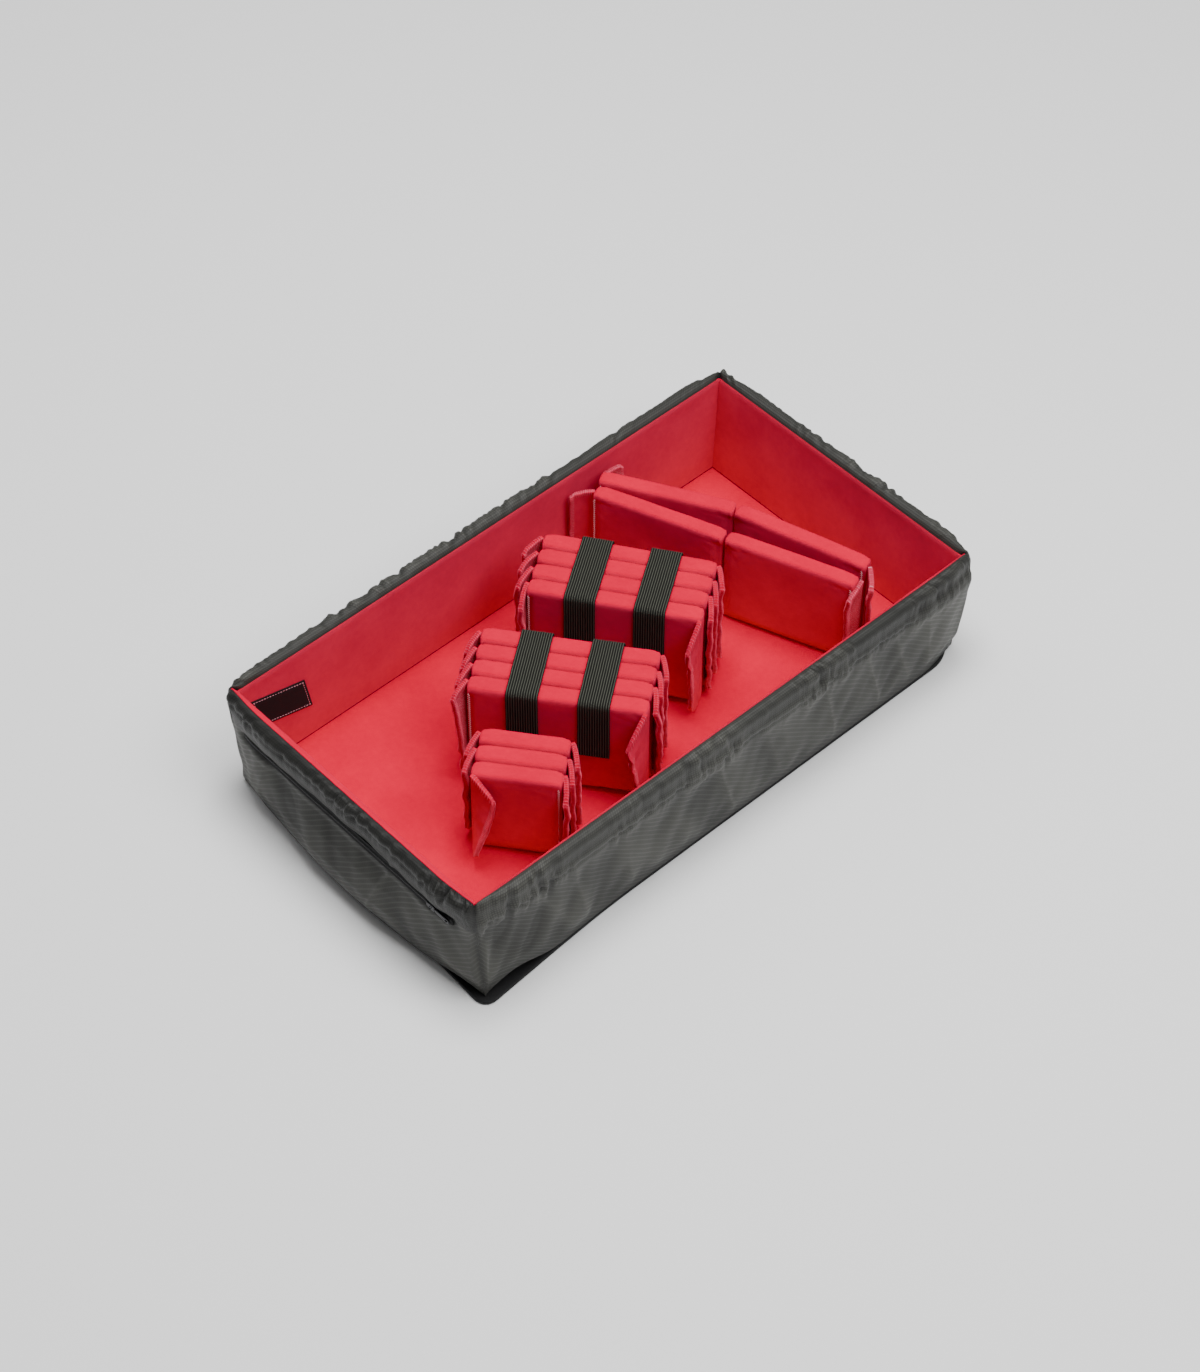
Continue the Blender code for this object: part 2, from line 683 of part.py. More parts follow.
def folding_divider(label, corner, turn_deg, bend_deg, lengths, folds, curls, surfaces):
    """Two panels joined by a cloth crease, the right one turned about it."""
    stand = stand_at(label + "_stand", corner, turn_deg)
    left_size = (lengths[0], LONG_THICKNESS, LONG_HEIGHT)
    right_size = (lengths[1], LONG_THICKNESS, LONG_HEIGHT)
    left = divider(label + "_left_panel", left_size, (0, 0), stand, surfaces["cloth"])
    crease = bpy.data.objects.new(label + "_crease", None)
    bpy.data.collections[COLLECTION].objects.link(crease)
    crease.parent = stand
    crease.location = (lengths[0] + CREASE_GAP / 2, -LONG_THICKNESS / 2, 0)
    crease.rotation_euler.z = math.radians(bend_deg)
    place = (CREASE_GAP / 2, LONG_THICKNESS / 2)
    right = divider(label + "_right_panel", right_size, place, crease, surfaces["cloth"])
    hang_flap(label + "_left_flap", left, left_size, -1, folds[0], curls[0], surfaces["hook"])
    hang_flap(label + "_right_flap", right, right_size, 1, folds[1], curls[1], surfaces["hook"])


def bundle(label, corner, turn_deg, left_folds, right_folds, surfaces):
    """Four medium dividers held by two straps."""
    size = (MEDIUM_LENGTH, MEDIUM_THICKNESS, MEDIUM_HEIGHT)
    stand = divider_set(label, corner, turn_deg, size, left_folds, right_folds, surfaces)
    for side, place in zip(("left", "right"), STRAP_PLACES):
        strap(f"{label}_{side}_strap", stand, place, size, len(left_folds), surfaces["elastic"])


def clear_scene():
    for old in list(bpy.data.objects):
        bpy.data.objects.remove(old)
    for name in (COLLECTION, CUTTERS):
        bpy.context.scene.collection.children.link(bpy.data.collections.new(name))


def make_materials():
    return {
        "cloth": material("red_loop_cloth", (0.60, 0.035, 0.060), 0.95),
        "hook": material("red_hook_cloth", (0.52, 0.030, 0.050), 0.9),
        "nylon": material("grey_ripstop_nylon", (0.060, 0.060, 0.052), 0.55),
        "elastic": material("black_ribbed_elastic", (0.020, 0.021, 0.019), 0.8),
        "foam": material("grey_foam", (0.16, 0.16, 0.16), 1.0),
        "board": material("black_board", (0.012, 0.012, 0.013), 0.7),
        "tape": material("black_zip_tape", (0.018, 0.018, 0.018), 0.75),
        "metal": material("gunmetal", (0.28, 0.28, 0.29), 0.35, 1.0),
        "patch": material("black_patch", (0.010, 0.010, 0.011), 0.85),
    }


def make_tub(surfaces):
    base_board(surfaces["board"])
    floor_foam(surfaces["foam"])
    lining(surfaces["cloth"])
    for wall in WALLS:
        wall_foam(wall, surfaces["foam"])
        wall_cover(wall, surfaces["nylon"])
    zip_tape(surfaces["tape"])
    zip_slider(surfaces["metal"])
    zip_pull(surfaces["metal"])
    patch(surfaces["patch"])


def make_dividers(surfaces):
    bundle("far", FAR_CORNER, FAR_TURN_DEG, FAR_LEFT_FOLDS, FAR_RIGHT_FOLDS, surfaces)
    bundle(
        "middle", MIDDLE_CORNER, MIDDLE_TURN_DEG, MIDDLE_LEFT_FOLDS, MIDDLE_RIGHT_FOLDS, surfaces
    )
    small = (SMALL_LENGTH, SMALL_THICKNESS, SMALL_HEIGHT)
    divider_set(
        "small", SMALL_CORNER, SMALL_TURN_DEG, small, SMALL_LEFT_FOLDS, SMALL_RIGHT_FOLDS, surfaces
    )
    folding_divider(
        "long_front",
        (LONG_FRONT_PLACE, INNER_WIDTH / 2 - LONG_FRONT_WALL_SPACE),
        LONG_FRONT_TURN_DEG,
        LONG_FRONT_BEND_DEG,
        [share * INNER_WIDTH for share in LONG_FRONT_LENGTH_SHARES],
        (LONG_FRONT_LEFT_FOLD, LONG_FRONT_RIGHT_FOLD),
        (WALL_FLAP_CURL_DEG, FLAP_CURL_DEG),
        surfaces,
    )
    folding_divider(
        "long_back",
        (LONG_BACK_PLACE, INNER_WIDTH / 2 - LONG_BACK_WALL_SPACE),
        LONG_BACK_TURN_DEG,
        LONG_BACK_BEND_DEG,
        [share * INNER_WIDTH for share in LONG_BACK_LENGTH_SHARES],
        (LONG_BACK_LEFT_FOLD, LONG_BACK_RIGHT_FOLD),
        (0.0, FLAP_CURL_DEG),
        surfaces,
    )


def main():
    clear_scene()
    surfaces = make_materials()
    make_tub(surfaces)
    make_dividers(surfaces)


main()
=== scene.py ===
"""Dresses the padded case divider: nylon tub, loop lining, simulated pads, flaps and straps.

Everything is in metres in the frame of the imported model, +Z up, +X along the tub away from the
zip, -Y towards the viewer.
"""

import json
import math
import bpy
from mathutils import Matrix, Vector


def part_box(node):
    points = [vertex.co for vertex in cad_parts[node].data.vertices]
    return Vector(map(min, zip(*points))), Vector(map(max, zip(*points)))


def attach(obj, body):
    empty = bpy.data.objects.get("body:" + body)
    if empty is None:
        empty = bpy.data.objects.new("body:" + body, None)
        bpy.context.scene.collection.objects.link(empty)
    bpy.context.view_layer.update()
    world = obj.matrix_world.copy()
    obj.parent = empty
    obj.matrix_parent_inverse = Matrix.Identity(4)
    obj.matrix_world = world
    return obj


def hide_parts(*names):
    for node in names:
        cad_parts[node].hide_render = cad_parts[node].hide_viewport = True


bl_info = {
    "name": "Padded case divider",
    "version": (1, 0, 0),
    "blender": (4, 5, 0),
    "location": "3D View > Sidebar > Case divider",
    "description": "Sewn tub, padded dividers, hook flaps and straps around the packed frame",
    "category": "Object",
}

import bpy
import numpy as np
from bpy.props import FloatProperty, FloatVectorProperty, IntProperty, PointerProperty
from mathutils import Matrix, Vector, noise

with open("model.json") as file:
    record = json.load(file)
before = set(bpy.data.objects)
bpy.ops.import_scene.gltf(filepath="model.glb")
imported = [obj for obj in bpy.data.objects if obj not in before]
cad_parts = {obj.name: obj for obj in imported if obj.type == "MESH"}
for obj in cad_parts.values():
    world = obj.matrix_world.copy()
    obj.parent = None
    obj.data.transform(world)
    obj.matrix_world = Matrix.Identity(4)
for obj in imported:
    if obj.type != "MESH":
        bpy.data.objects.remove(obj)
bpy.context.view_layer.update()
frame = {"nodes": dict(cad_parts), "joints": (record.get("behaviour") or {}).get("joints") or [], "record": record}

MM = 0.001
WALL_NAMES = ("front", "back", "left", "right")
OUTWARD = {"front": (0, -1), "back": (0, 1), "left": (-1, 0), "right": (1, 0)}

# The tub as the frame has it
INNER_LENGTH = 478 * MM
INNER_WIDTH = 259 * MM
TUB_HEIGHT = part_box("front_cover")[1].z
MOUTH_GAINS = (16 * MM, 7 * MM)
WALL = 12.2 * MM
ROLL = WALL / 2
ROLL_HEIGHT = TUB_HEIGHT - ROLL
FOAM_INSIDE = 1.5 * MM
WALL_FOAM = 9.4 * MM
CORNER_DRAW = 6.2 * MM
CORNER_REACH = 45 * MM
BELLIES = (8 * MM, 2 * MM)
HEIGHT_SHARES = (0.0, 0.15, 0.29, 0.45, 0.58, 0.8, 1.0)
DRAW_SHARES = (1.0, 0.95, 0.9, 0.8, 0.75, 0.75, 1.0)
BELLY_SHARES = (0.1, 0.75, 1.0, 0.6, 0.0, 0.0, 0.0)
COVER_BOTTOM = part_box("front_cover")[0].z
COVER_SIDE = ROLL_HEIGHT - COVER_BOTTOM
FLOOR_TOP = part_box("lining")[0].z + 1.2 * MM
BASE_LOW, BASE_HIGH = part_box("base_board")
LINING_LIFT = 0.45 * MM

# The nylon
LEFT_SEAM = 97 * MM
ZIP_HEIGHT = 73 * MM
ZIP_HALF = 118 * MM
ZIP_WOBBLE = 0.9 * MM
FLARE = (7 * MM, 12.5 * MM)
BASE_RADII = (12 * MM, 34 * MM)
SAG = 9 * MM
MOST_STAND = 5.5 * MM
MOST_SINK = 0.8 * MM
CORNER_LIFTS = {"front": 12 * MM, "left": 6 * MM}

MEDIUM = [f"{s}_divider_{n}" for s in ("far", "middle") for n in (1, 2, 3, 4)]
SMALL = [f"small_divider_{n}" for n in (1, 2, 3)]
LONG = [f"long_{f}_{s}_panel" for f in ("front", "back") for s in ("left", "right")]
BODY_OF = {
    node: body for body, nodes in frame["record"]["behaviour"]["bodies"].items() for node in nodes
}
HINGES = {joint["child"]: joint for joint in frame["joints"]}


# Settings


def metres(name, description, value):
    return FloatProperty(name=name, description=description, default=value, unit="LENGTH")


def degrees(name, description, value):
    return FloatProperty(
        name=name, description=description, default=math.radians(value), subtype="ANGLE"
    )


def dye(name, description, *value):
    return FloatVectorProperty(name=name, description=description, subtype="COLOR", default=value)


class TubSettings(bpy.types.PropertyGroup):
    """Sizes of the sewn tub."""

    cover_thickness: metres("Cover", "Nylon thickness", 0.9 * MM)
    lining_thickness: metres("Lining", "Loop cloth thickness", 1.1 * MM)
    pucker: metres("Pucker", "Depth of the gathers at the rim", 6.2 * MM)
    slack: metres("Slack", "Depth of the loose folds", 6.6 * MM)
    band_height: metres("Band", "Height of the rim band's seam", 84 * MM)
    welt: metres("Welt", "How far the fold over the zip stands out", 0.5 * MM)
    near_wrap: degrees("Near wrap", "How far the lining laps over the near rims", 58)
    end_wrap: degrees("End wrap", "How far the lining laps over the zipped end's rim", 86)
    far_wrap: degrees("Far wrap", "How far the lining laps over the far rims", 24)


class PadSettings(bpy.types.PropertyGroup):
    """Sizes of the padded dividers."""

    voxel: metres("Voxel", "Remesh size before the cloth step", 3.2 * MM)
    pressure: FloatProperty(name="Pressure", description="Cloth pressure", default=4.0)
    swell: metres("Swell", "The most that a point moves as the pad fills", 2.6 * MM)
    edge_radius: metres("Edge", "Roundness of the pad's edges", 2.4 * MM)
    seam_depth: metres("Seam", "Depth of the sewn lines", 0.7 * MM)


class FlapSettings(bpy.types.PropertyGroup):
    """Sizes of the hook flaps and the straps."""

    width: metres("Width", "Flap width from its seam", 21 * MM)
    thickness: metres("Thickness", "Flap thickness", 2.3 * MM)
    ripple: metres("Ripple", "Depth of the waves at the free edge", 1.5 * MM)
    hem: metres("Hem", "How much thicker a flap is at its sewn edges", 1.2 * MM)
    stitch_pitch: metres("Pitch", "Distance between overlock stitches", 1.9 * MM)
    thread: metres("Thread", "Thread radius", 0.27 * MM)
    ribs: IntProperty(name="Ribs", description="Lengthwise ribs on a strap", default=13)
    strap_thickness: metres("Strap", "Elastic thickness", 1.3 * MM)


class ColourSettings(bpy.types.PropertyGroup):
    """Colours of the materials, as linear values."""

    red: dye("Red", "Loop cloth", 0.66, 0.022, 0.036)
    hook: dye("Hook", "Hook face", 0.56, 0.03, 0.075)
    thread: dye("Thread", "Overlock thread", 0.85, 0.42, 0.50)
    hem: dye("Hem", "Overlocked edges", 0.74, 0.06, 0.13)
    nylon: dye("Nylon", "Outer cloth", 0.042, 0.042, 0.0365)
    elastic: dye("Elastic", "Straps", 0.016, 0.0165, 0.013)
    black: dye("Black", "Board, zip and patch", 0.006, 0.006, 0.0065)
    metal: dye("Metal", "Zip slider", 0.035, 0.035, 0.037)
    floor: dye("Floor", "Studio floor", 0.86, 0.86, 0.86)


# Shader helpers


def feed(made, inputs):
    """Set the inputs of a node from numbers, or link them to sockets."""
    for key, value in inputs.items():
        if isinstance(value, bpy.types.NodeSocket):
            made.id_data.links.new(value, made.inputs[key])
        else:
            made.inputs[key].default_value = value
    return made


def node(tree, kind, inputs=None, **settings):
    """Add a shader node with its settings and its input values or links."""
    made = tree.nodes.new(kind)
    for key, value in settings.items():
        setattr(made, key, value)
    return feed(made, inputs or {})


def maths(tree, operation, *values):
    """A Math node on numbers or sockets."""
    return node(tree, "ShaderNodeMath", dict(enumerate(values)), operation=operation).outputs[0]


def line(tree, value, slope, start):
    """A value times a slope, plus a start."""
    return maths(tree, "MULTIPLY_ADD", value, slope, start)


def product(tree, first, second):
    return maths(tree, "MULTIPLY", first, second)


def cloud(tree, at, scale, detail=2.0, roughness=0.5):
    """Soft noise about one half."""
    return node(
        tree, "ShaderNodeTexNoise",
        {"Vector": at, "Scale": scale, "Detail": detail, "Roughness": roughness},
    ).outputs["Fac"]


def bands(tree, at, scale, direction, distortion, detail):
    """Even waves across one direction of the cloth."""
    return node(
        tree, "ShaderNodeTexWave",
        {"Vector": at, "Scale": scale, "Distortion": distortion, "Detail": detail},
        wave_type="BANDS", bands_direction=direction,
    ).outputs["Fac"]


def spread(tree, value, low, high, to_low=0.0, to_high=1.0):
    """A value's place between two limits, held within them."""
    inputs = {"From Min": low, "From Max": high, "To Min": to_low, "To Max": to_high}
    return node(tree, "ShaderNodeMapRange", {"Value": value, **inputs}).outputs[0]


def blend(tree, factor, first, second):
    mixed = node(
        tree, "ShaderNodeMix", {"Factor": factor, "A": first, "B": second}, data_type="FLOAT"
    )
    return mixed.outputs[0]


def vector(tree, x, y, z):
    return node(tree, "ShaderNodeCombineXYZ", {0: x, 1: y, 2: z}).outputs[0]


def along_axis(tree, socket, axis):
    return node(tree, "ShaderNodeSeparateXYZ", {"Vector": socket}).outputs[axis]


def tint(tree, colour, shade):
    """A colour times a varying shade."""
    plain = colour if isinstance(colour, bpy.types.NodeSocket) else vector(tree, *colour)
    return node(
        tree, "ShaderNodeVectorMath", {0: plain, "Scale": shade}, operation="SCALE"
    ).outputs["Vector"]


def stored(tree, name):
    """What the cloth pieces store at each point: their own places in metres, or a painted shade."""
    return node(tree, "ShaderNodeAttribute", attribute_name=name).outputs


def object_place(tree):
    return node(tree, "ShaderNodeTexCoord").outputs["Object"]


def group(name, inputs, outputs):
    """A new node group with named sockets: Vector, and numbers with their defaults."""
    tree = bpy.data.node_groups.new(name, "ShaderNodeTree")
    tree.interface.new_socket("Vector", in_out="INPUT", socket_type="NodeSocketVector")
    for label, default in inputs.items():
        socket = tree.interface.new_socket(label, in_out="INPUT", socket_type="NodeSocketFloat")
        socket.default_value = default
    for label in outputs:
        tree.interface.new_socket(label, in_out="OUTPUT", socket_type="NodeSocketFloat")
    start, end = tree.nodes.new("NodeGroupInput"), tree.nodes.new("NodeGroupOutput")
    return tree, start.outputs, end


def pile_group():
    """Brushed loop pile: a colour multiplier and a height from the cloth's own place."""
    tree, start, end = group(
        "brushed_pile", {"Tuft": 1500.0, "Blotch": 26.0, "Rib": 1100.0}, ("Shade", "Height")
    )
    at = start["Vector"]
    tuft = cloud(tree, at, start["Tuft"], 3.0, 0.65)
    fuzz = cloud(tree, at, 210.0, 4.0, 0.6)
    blotch = cloud(tree, at, start["Blotch"], 3.0, 0.55)
    wave = bands(tree, at, start["Rib"], "X", 1.5, 1.0)
    height = line(tree, fuzz, 0.55, line(tree, wave, 0.12, product(tree, tuft, 0.5)))
    shade = line(tree, maths(tree, "SUBTRACT", height, 0.55), 0.34, 1.0)
    shade = line(tree, maths(tree, "SUBTRACT", blotch, 0.5), 0.30, shade)
    feed(end, {"Shade": shade, "Height": height})
    return tree


def grid_group():
    """Ripstop: raised threads on a square grid over a fine plain weave."""
    tree, start, end = group(
        "ripstop_grid", {"Across": 2.6 * MM, "Up": 2.6 * MM, "Across strength": 1.0},
        ("Mask", "Height"),
    )
    lines = []
    for axis, pitch in (("X", "Across"), ("Y", "Up")):
        turns = maths(tree, "DIVIDE", along_axis(tree, start["Vector"], axis), start[pitch])
        swing = maths(tree, "COSINE", product(tree, turns, math.tau))
        lines.append(maths(tree, "POWER", line(tree, swing, 0.5, 0.5), 3.0))
    mask = maths(tree, "MAXIMUM", product(tree, lines[0], start["Across strength"]), lines[1])
    weave = cloud(tree, start["Vector"], 2600.0, 1.0)
    feed(end, {"Mask": mask, "Height": line(tree, weave, 0.25, mask)})
    return tree


def wear_group():
    """Soft dirt and fading: a slow multiplier about one."""
    tree, start, end = group("handling_wear", {"Strength": 0.2}, ("Shade",))
    slow = maths(tree, "SUBTRACT", cloud(tree, start["Vector"], 17.0, 5.0, 0.6), 0.5)
    feed(end, {"Shade": line(tree, slow, start["Strength"], 1.0)})
    return tree


GROUPS = {"brushed_pile": pile_group, "ripstop_grid": grid_group, "handling_wear": wear_group}


def placed(tree, name, inputs):
    """Put a shared group, made on first use, into a material."""
    shared = bpy.data.node_groups.get(name) or GROUPS[name]()
    return node(tree, "ShaderNodeGroup", inputs, node_tree=shared).outputs


def worn(tree, at, strength):
    return placed(tree, "handling_wear", {"Vector": at, "Strength": strength})["Shade"]


def new_material(name, **fixed):
    """A material with its Principled BSDF and constants set on its own sockets."""
    made = bpy.data.materials.new(name)
    made.use_nodes = True
    shader = made.node_tree.nodes["Principled BSDF"]
    feed(shader, {key.replace("_", " "): value for key, value in fixed.items()})
    return made, made.node_tree, shader


def bump(tree, shader, height, distance):
    made = node(tree, "ShaderNodeBump", {"Height": height, "Distance": distance, "Strength": 1.0})
    feed(shader, {"Normal": made.outputs["Normal"]})


# Painted light: the green and blue of the loop pile on faces that stand upright, paler than on faces turned up to
# the light
PAINTED_UPRIGHT_GREEN = 0.028
PAINTED_UPRIGHT_BLUE = 0.085


def painted_facing_tint(tree, colour):
    """Loop pile with painted light: deeper in colour where the cloth faces up and the light falls straight in,
    paler where it stands upright.
    """
    normal = node(tree, "ShaderNodeNewGeometry").outputs["Normal"]
    level = spread(tree, along_axis(tree, normal, "Z"), 0.15, 0.85)
    green = line(tree, level, -PAINTED_UPRIGHT_GREEN, PAINTED_UPRIGHT_GREEN)
    blue = line(tree, level, colour[2] - PAINTED_UPRIGHT_BLUE, PAINTED_UPRIGHT_BLUE)
    return vector(tree, colour[0], green, blue)


def loop_cloth(colour):
    made, tree, shader = new_material(
        "red_loop_cloth", Roughness=0.95, Sheen_Weight=0.02, Sheen_Roughness=0.5,
        Specular_IOR_Level=0.01, Sheen_Tint=(1.0, 0.2, 0.34, 1),
    )
    at = stored(tree, "cloth")["Vector"]
    pile = placed(tree, "brushed_pile", {"Vector": at})
    shade = product(tree, pile["Shade"], worn(tree, at, 0.25))
    # The base colour holds painted light: its hue is set by the way each face turns to the light
    feed(shader, {"Base Color": tint(tree, painted_facing_tint(tree, colour), shade)})
    bump(tree, shader, pile["Height"], 0.35 * MM)
    return made


def hook_face(colour, thread):
    """Brushed hooks in close upright rows, red with pale flecks."""
    made, tree, shader = new_material("hook_face", Roughness=0.85, Specular_IOR_Level=0.1)
    at = stored(tree, "cloth")["Vector"]
    rows = bands(tree, at, 190.0, "Y", 2.0, 1.0)
    speck = line(tree, rows, 0.16, cloud(tree, at, 1100.0))
    pale = spread(tree, speck, 0.60, 0.78, 0.0, 0.42)
    dark = tint(tree, colour, worn(tree, at, 0.4))
    mixed = node(
        tree, "ShaderNodeMix", {"Factor": pale, 6: dark, 7: (*thread, 1)}, data_type="RGBA"
    )
    feed(shader, {"Base Color": mixed.outputs[2]})
    bump(tree, shader, speck, 0.5 * MM)
    return made


def nylon(colour, band_height):
    """Outer cloth: a square ripstop on the rim band, level ribs on the sides below it."""
    made, tree, shader = new_material(
        "ripstop_nylon", Specular_IOR_Level=0.3, Sheen_Weight=0.05, Sheen_Roughness=0.4
    )
    at = stored(tree, "cloth")["Vector"]
    drift = line(tree, cloud(tree, at, 11.0), 7 * MM, -3.5 * MM)
    turned = node(
        tree, "ShaderNodeVectorRotate", {"Vector": at, "Angle": math.radians(37)},
        rotation_type="Z_AXIS",
    ).outputs[0]
    waved = node(
        tree, "ShaderNodeVectorMath", {0: turned, 1: vector(tree, 0, drift, 0)}, operation="ADD"
    ).outputs["Vector"]
    band = placed(tree, "ripstop_grid", {"Vector": at, "Across": 1.9 * MM, "Up": 1.9 * MM})
    side = placed(
        tree, "ripstop_grid",
        {"Vector": waved, "Across": 1.9 * MM, "Up": 3.9 * MM, "Across strength": 0.3},
    )
    up = along_axis(tree, at, "Y")
    rim = spread(tree, up, band_height - 9 * MM, band_height - 2 * MM)
    mask, height = (blend(tree, rim, side[key], band[key]) for key in ("Mask", "Height"))
    lift = blend(tree, rim, line(tree, mask, 0.20, 0.92), line(tree, mask, -0.85, 1.3))
    # Painted shade stored on the mesh: darker in the folds' hollows, along the zip and on the rim bands, lighter
    # on the ridges
    folds = product(tree, lift, stored(tree, "fold_shade")["Fac"])
    shade = product(tree, folds, worn(tree, at, 0.35))
    gloss = line(tree, mask, -0.12, 0.62)
    feed(shader, {"Base Color": tint(tree, colour, shade), "Roughness": gloss})
    bump(tree, shader, height, 0.12 * MM)
    return made


def ribbed_elastic(colour):
    """Knitted elastic, with a painted highlight on the crests of its ribs and painted shade in the grooves between
    them.
    """
    made, tree, shader = new_material("ribbed_elastic", Roughness=0.85, Specular_IOR_Level=0.2)
    at = stored(tree, "cloth")["Vector"]
    knit = bands(tree, at, 360.0, "Y", 1.0, 2.0)
    # Painted highlight and shade: the stored rib profile makes the crests many times paler than the grooves
    crest = line(tree, maths(tree, "POWER", along_axis(tree, at, "Z"), 4.0), 6.0, 0.25)
    height = line(tree, knit, 0.5, cloud(tree, at, 1600.0))
    shade = product(tree, crest, line(tree, height, 0.5, 0.62))
    feed(shader, {"Base Color": tint(tree, colour, shade)})
    bump(tree, shader, height, 0.22 * MM)
    return made


def plain_cloth(name, colour, scale, roughness):
    """A fine weave for tape, thread, patch, foam and board."""
    made, tree, shader = new_material(name, Roughness=roughness, Specular_IOR_Level=0.3)
    at = object_place(tree)
    grain = cloud(tree, at, scale, 3.0)
    shade = product(tree, line(tree, grain, 0.7, 0.65), worn(tree, at, 0.5))
    feed(shader, {"Base Color": tint(tree, colour, shade)})
    bump(tree, shader, grain, 0.2 * MM)
    return made


def cast_metal(colour):
    made, tree, shader = new_material("slider_metal", Metallic=1.0)
    scuff = cloud(tree, object_place(tree), 900.0, 4.0)
    shade = line(tree, scuff, 0.5, 0.75)
    rough = line(tree, scuff, 0.3, 0.22)
    feed(shader, {"Base Color": tint(tree, colour, shade), "Roughness": rough})
    bump(tree, shader, scuff, 0.05 * MM)
    return made


def floor_material(colour):
    made, tree, shader = new_material("studio_floor", Roughness=0.9, Specular_IOR_Level=0.1)
    shade = line(tree, cloud(tree, object_place(tree), 2.0), 0.01, 0.995)
    feed(shader, {"Base Color": tint(tree, colour, shade)})
    return made


MATERIALS = {}


def surface(key):
    """The material of one finish; all of them are made on first use."""
    if not MATERIALS:
        colours = bpy.context.scene.case_colours
        MATERIALS["red"] = loop_cloth(colours.red)
        MATERIALS["hook"] = hook_face(colours.hook, colours.thread)
        MATERIALS["nylon"] = nylon(colours.nylon, bpy.context.scene.case_tub.band_height)
        MATERIALS["elastic"] = ribbed_elastic(colours.elastic)
        MATERIALS["metal"] = cast_metal(colours.metal)
        for finish, name, colour, lift, scale, roughness in (
            ("thread", "overlock_thread", colours.thread, 1, 2200.0, 0.7),
            ("hem", "hem_thread", colours.hem, 1, 2200.0, 0.8),
            ("foam", "closed_foam", colours.black, 1.5, 700.0, 0.95),
            ("board", "board_cloth", colours.black, 1, 1200.0, 0.7),
            ("tape", "zip_tape_weave", colours.black, 0.6, 1500.0, 0.9),
            # The coil's colour is six times the black, a painted highlight that makes it read as a pale line
            ("coil", "zip_coil_nylon", colours.black, 6, 900.0, 0.4),
            ("patch", "patch_weave", colours.black, 1, 1700.0, 0.85),
        ):
            lifted = [channel * lift for channel in colour]
            MATERIALS[finish] = plain_cloth(name, lifted, scale, roughness)
    return MATERIALS[key]


# Mesh helpers


def active(piece):
    """Select one piece alone."""
    bpy.ops.object.select_all(action="DESELECT")
    piece.select_set(True)
    bpy.context.view_layer.objects.active = piece


def edited(piece, *steps):
    """Run mesh operators, each with its settings, on the whole of one piece in edit mode."""
    active(piece)
    bpy.ops.object.mode_set(mode="EDIT")
    bpy.ops.mesh.select_all(action="SELECT")
    for step, settings in steps:
        step(**settings)
    bpy.ops.object.mode_set(mode="OBJECT")


def flip(piece):
    edited(piece, (bpy.ops.mesh.flip_normals, {}))


def added(operator, name=None, **settings):
    """A new primitive."""
    bpy.ops.object.select_all(action="DESELECT")
    operator(**settings)
    piece = bpy.context.active_object
    if name:
        piece.name = name
    return piece


def resized(x, y, z):
    return bpy.ops.transform.resize, {"value": (x, y, z)}


def turned_about(axis):
    """A quarter turn about one axis through the origin."""
    return bpy.ops.transform.rotate, {
        "value": math.pi / 2, "orient_axis": axis, "center_override": (0, 0, 0),
        "orient_type": "GLOBAL",
    }


def table(*columns):
    """Columns side by side, a row for each point; a number fills its whole column."""
    return np.stack(np.broadcast_arrays(*columns), axis=1)


def points_of(piece):
    flat = np.zeros(len(piece.data.vertices) * 3)
    piece.data.vertices.foreach_get("co", flat)
    return flat.reshape(-1, 3)


def set_points(piece, points):
    piece.data.vertices.foreach_set("co", np.asarray(points, float).ravel())
    piece.data.update()


def set_cloth(piece, places):
    """Store the cloth's own coordinates on the mesh."""
    names = piece.data.attributes
    layer = names.get("cloth") or names.new("cloth", "FLOAT_VECTOR", "POINT")
    layer.data.foreach_set("vector", np.asarray(places, float).ravel())


def set_painted_shade(piece, shades):
    """Store the painted shade of each place of the cloth, darker in hollows and lighter on ridges."""
    layer = piece.data.attributes.new("fold_shade", "FLOAT", "POINT")
    layer.data.foreach_set("value", np.asarray(shades, float))


def grid(name, columns, rows):
    """A flat sheet with its places across and up from 0 to 1."""
    piece = added(
        bpy.ops.mesh.primitive_grid_add, name, x_subdivisions=columns, y_subdivisions=rows, size=2
    )
    piece.data.name = name
    flat = points_of(piece)
    return piece, (flat[:, 0] + 1) / 2, (flat[:, 1] + 1) / 2


def apply_modifier(piece, kind, **settings):
    active(piece)
    made = piece.modifiers.new("step", kind)
    for key, value in settings.items():
        setattr(made, key, value)
    bpy.ops.object.modifier_apply(modifier=made.name)


def bevelled(piece, width, segments, angle):
    apply_modifier(
        piece, "BEVEL", width=width, segments=segments, angle_limit=math.radians(angle)
    )


def signed_volume(piece):
    mesh = piece.data
    mesh.calc_loop_triangles()
    points = points_of(piece)
    index = np.zeros(len(mesh.loop_triangles) * 3, int)
    mesh.loop_triangles.foreach_get("vertices", index)
    a, b, c = (points[index.reshape(-1, 3)[:, n]] for n in range(3))
    return float((a * np.cross(b, c)).sum() / 6)


def thicken(piece, thickness):
    """Give a sheet its thickness, with the drawn side left where it is."""
    apply_modifier(piece, "SOLIDIFY", thickness=thickness, offset=-1.0)
    if signed_volume(piece) < 0:
        flip(piece)


def smooth(piece, angle=50.0):
    active(piece)
    bpy.ops.object.shade_smooth_by_angle(angle=math.radians(angle))


def face_towards(piece, direction, tested=0):
    """Turn a sheet's front to a direction, judged by one of its faces."""
    if piece.data.polygons[tested].normal.dot(Vector(direction)) < 0:
        flip(piece)


def shape_sheet(piece, points, places):
    set_points(piece, points)
    set_cloth(piece, places)


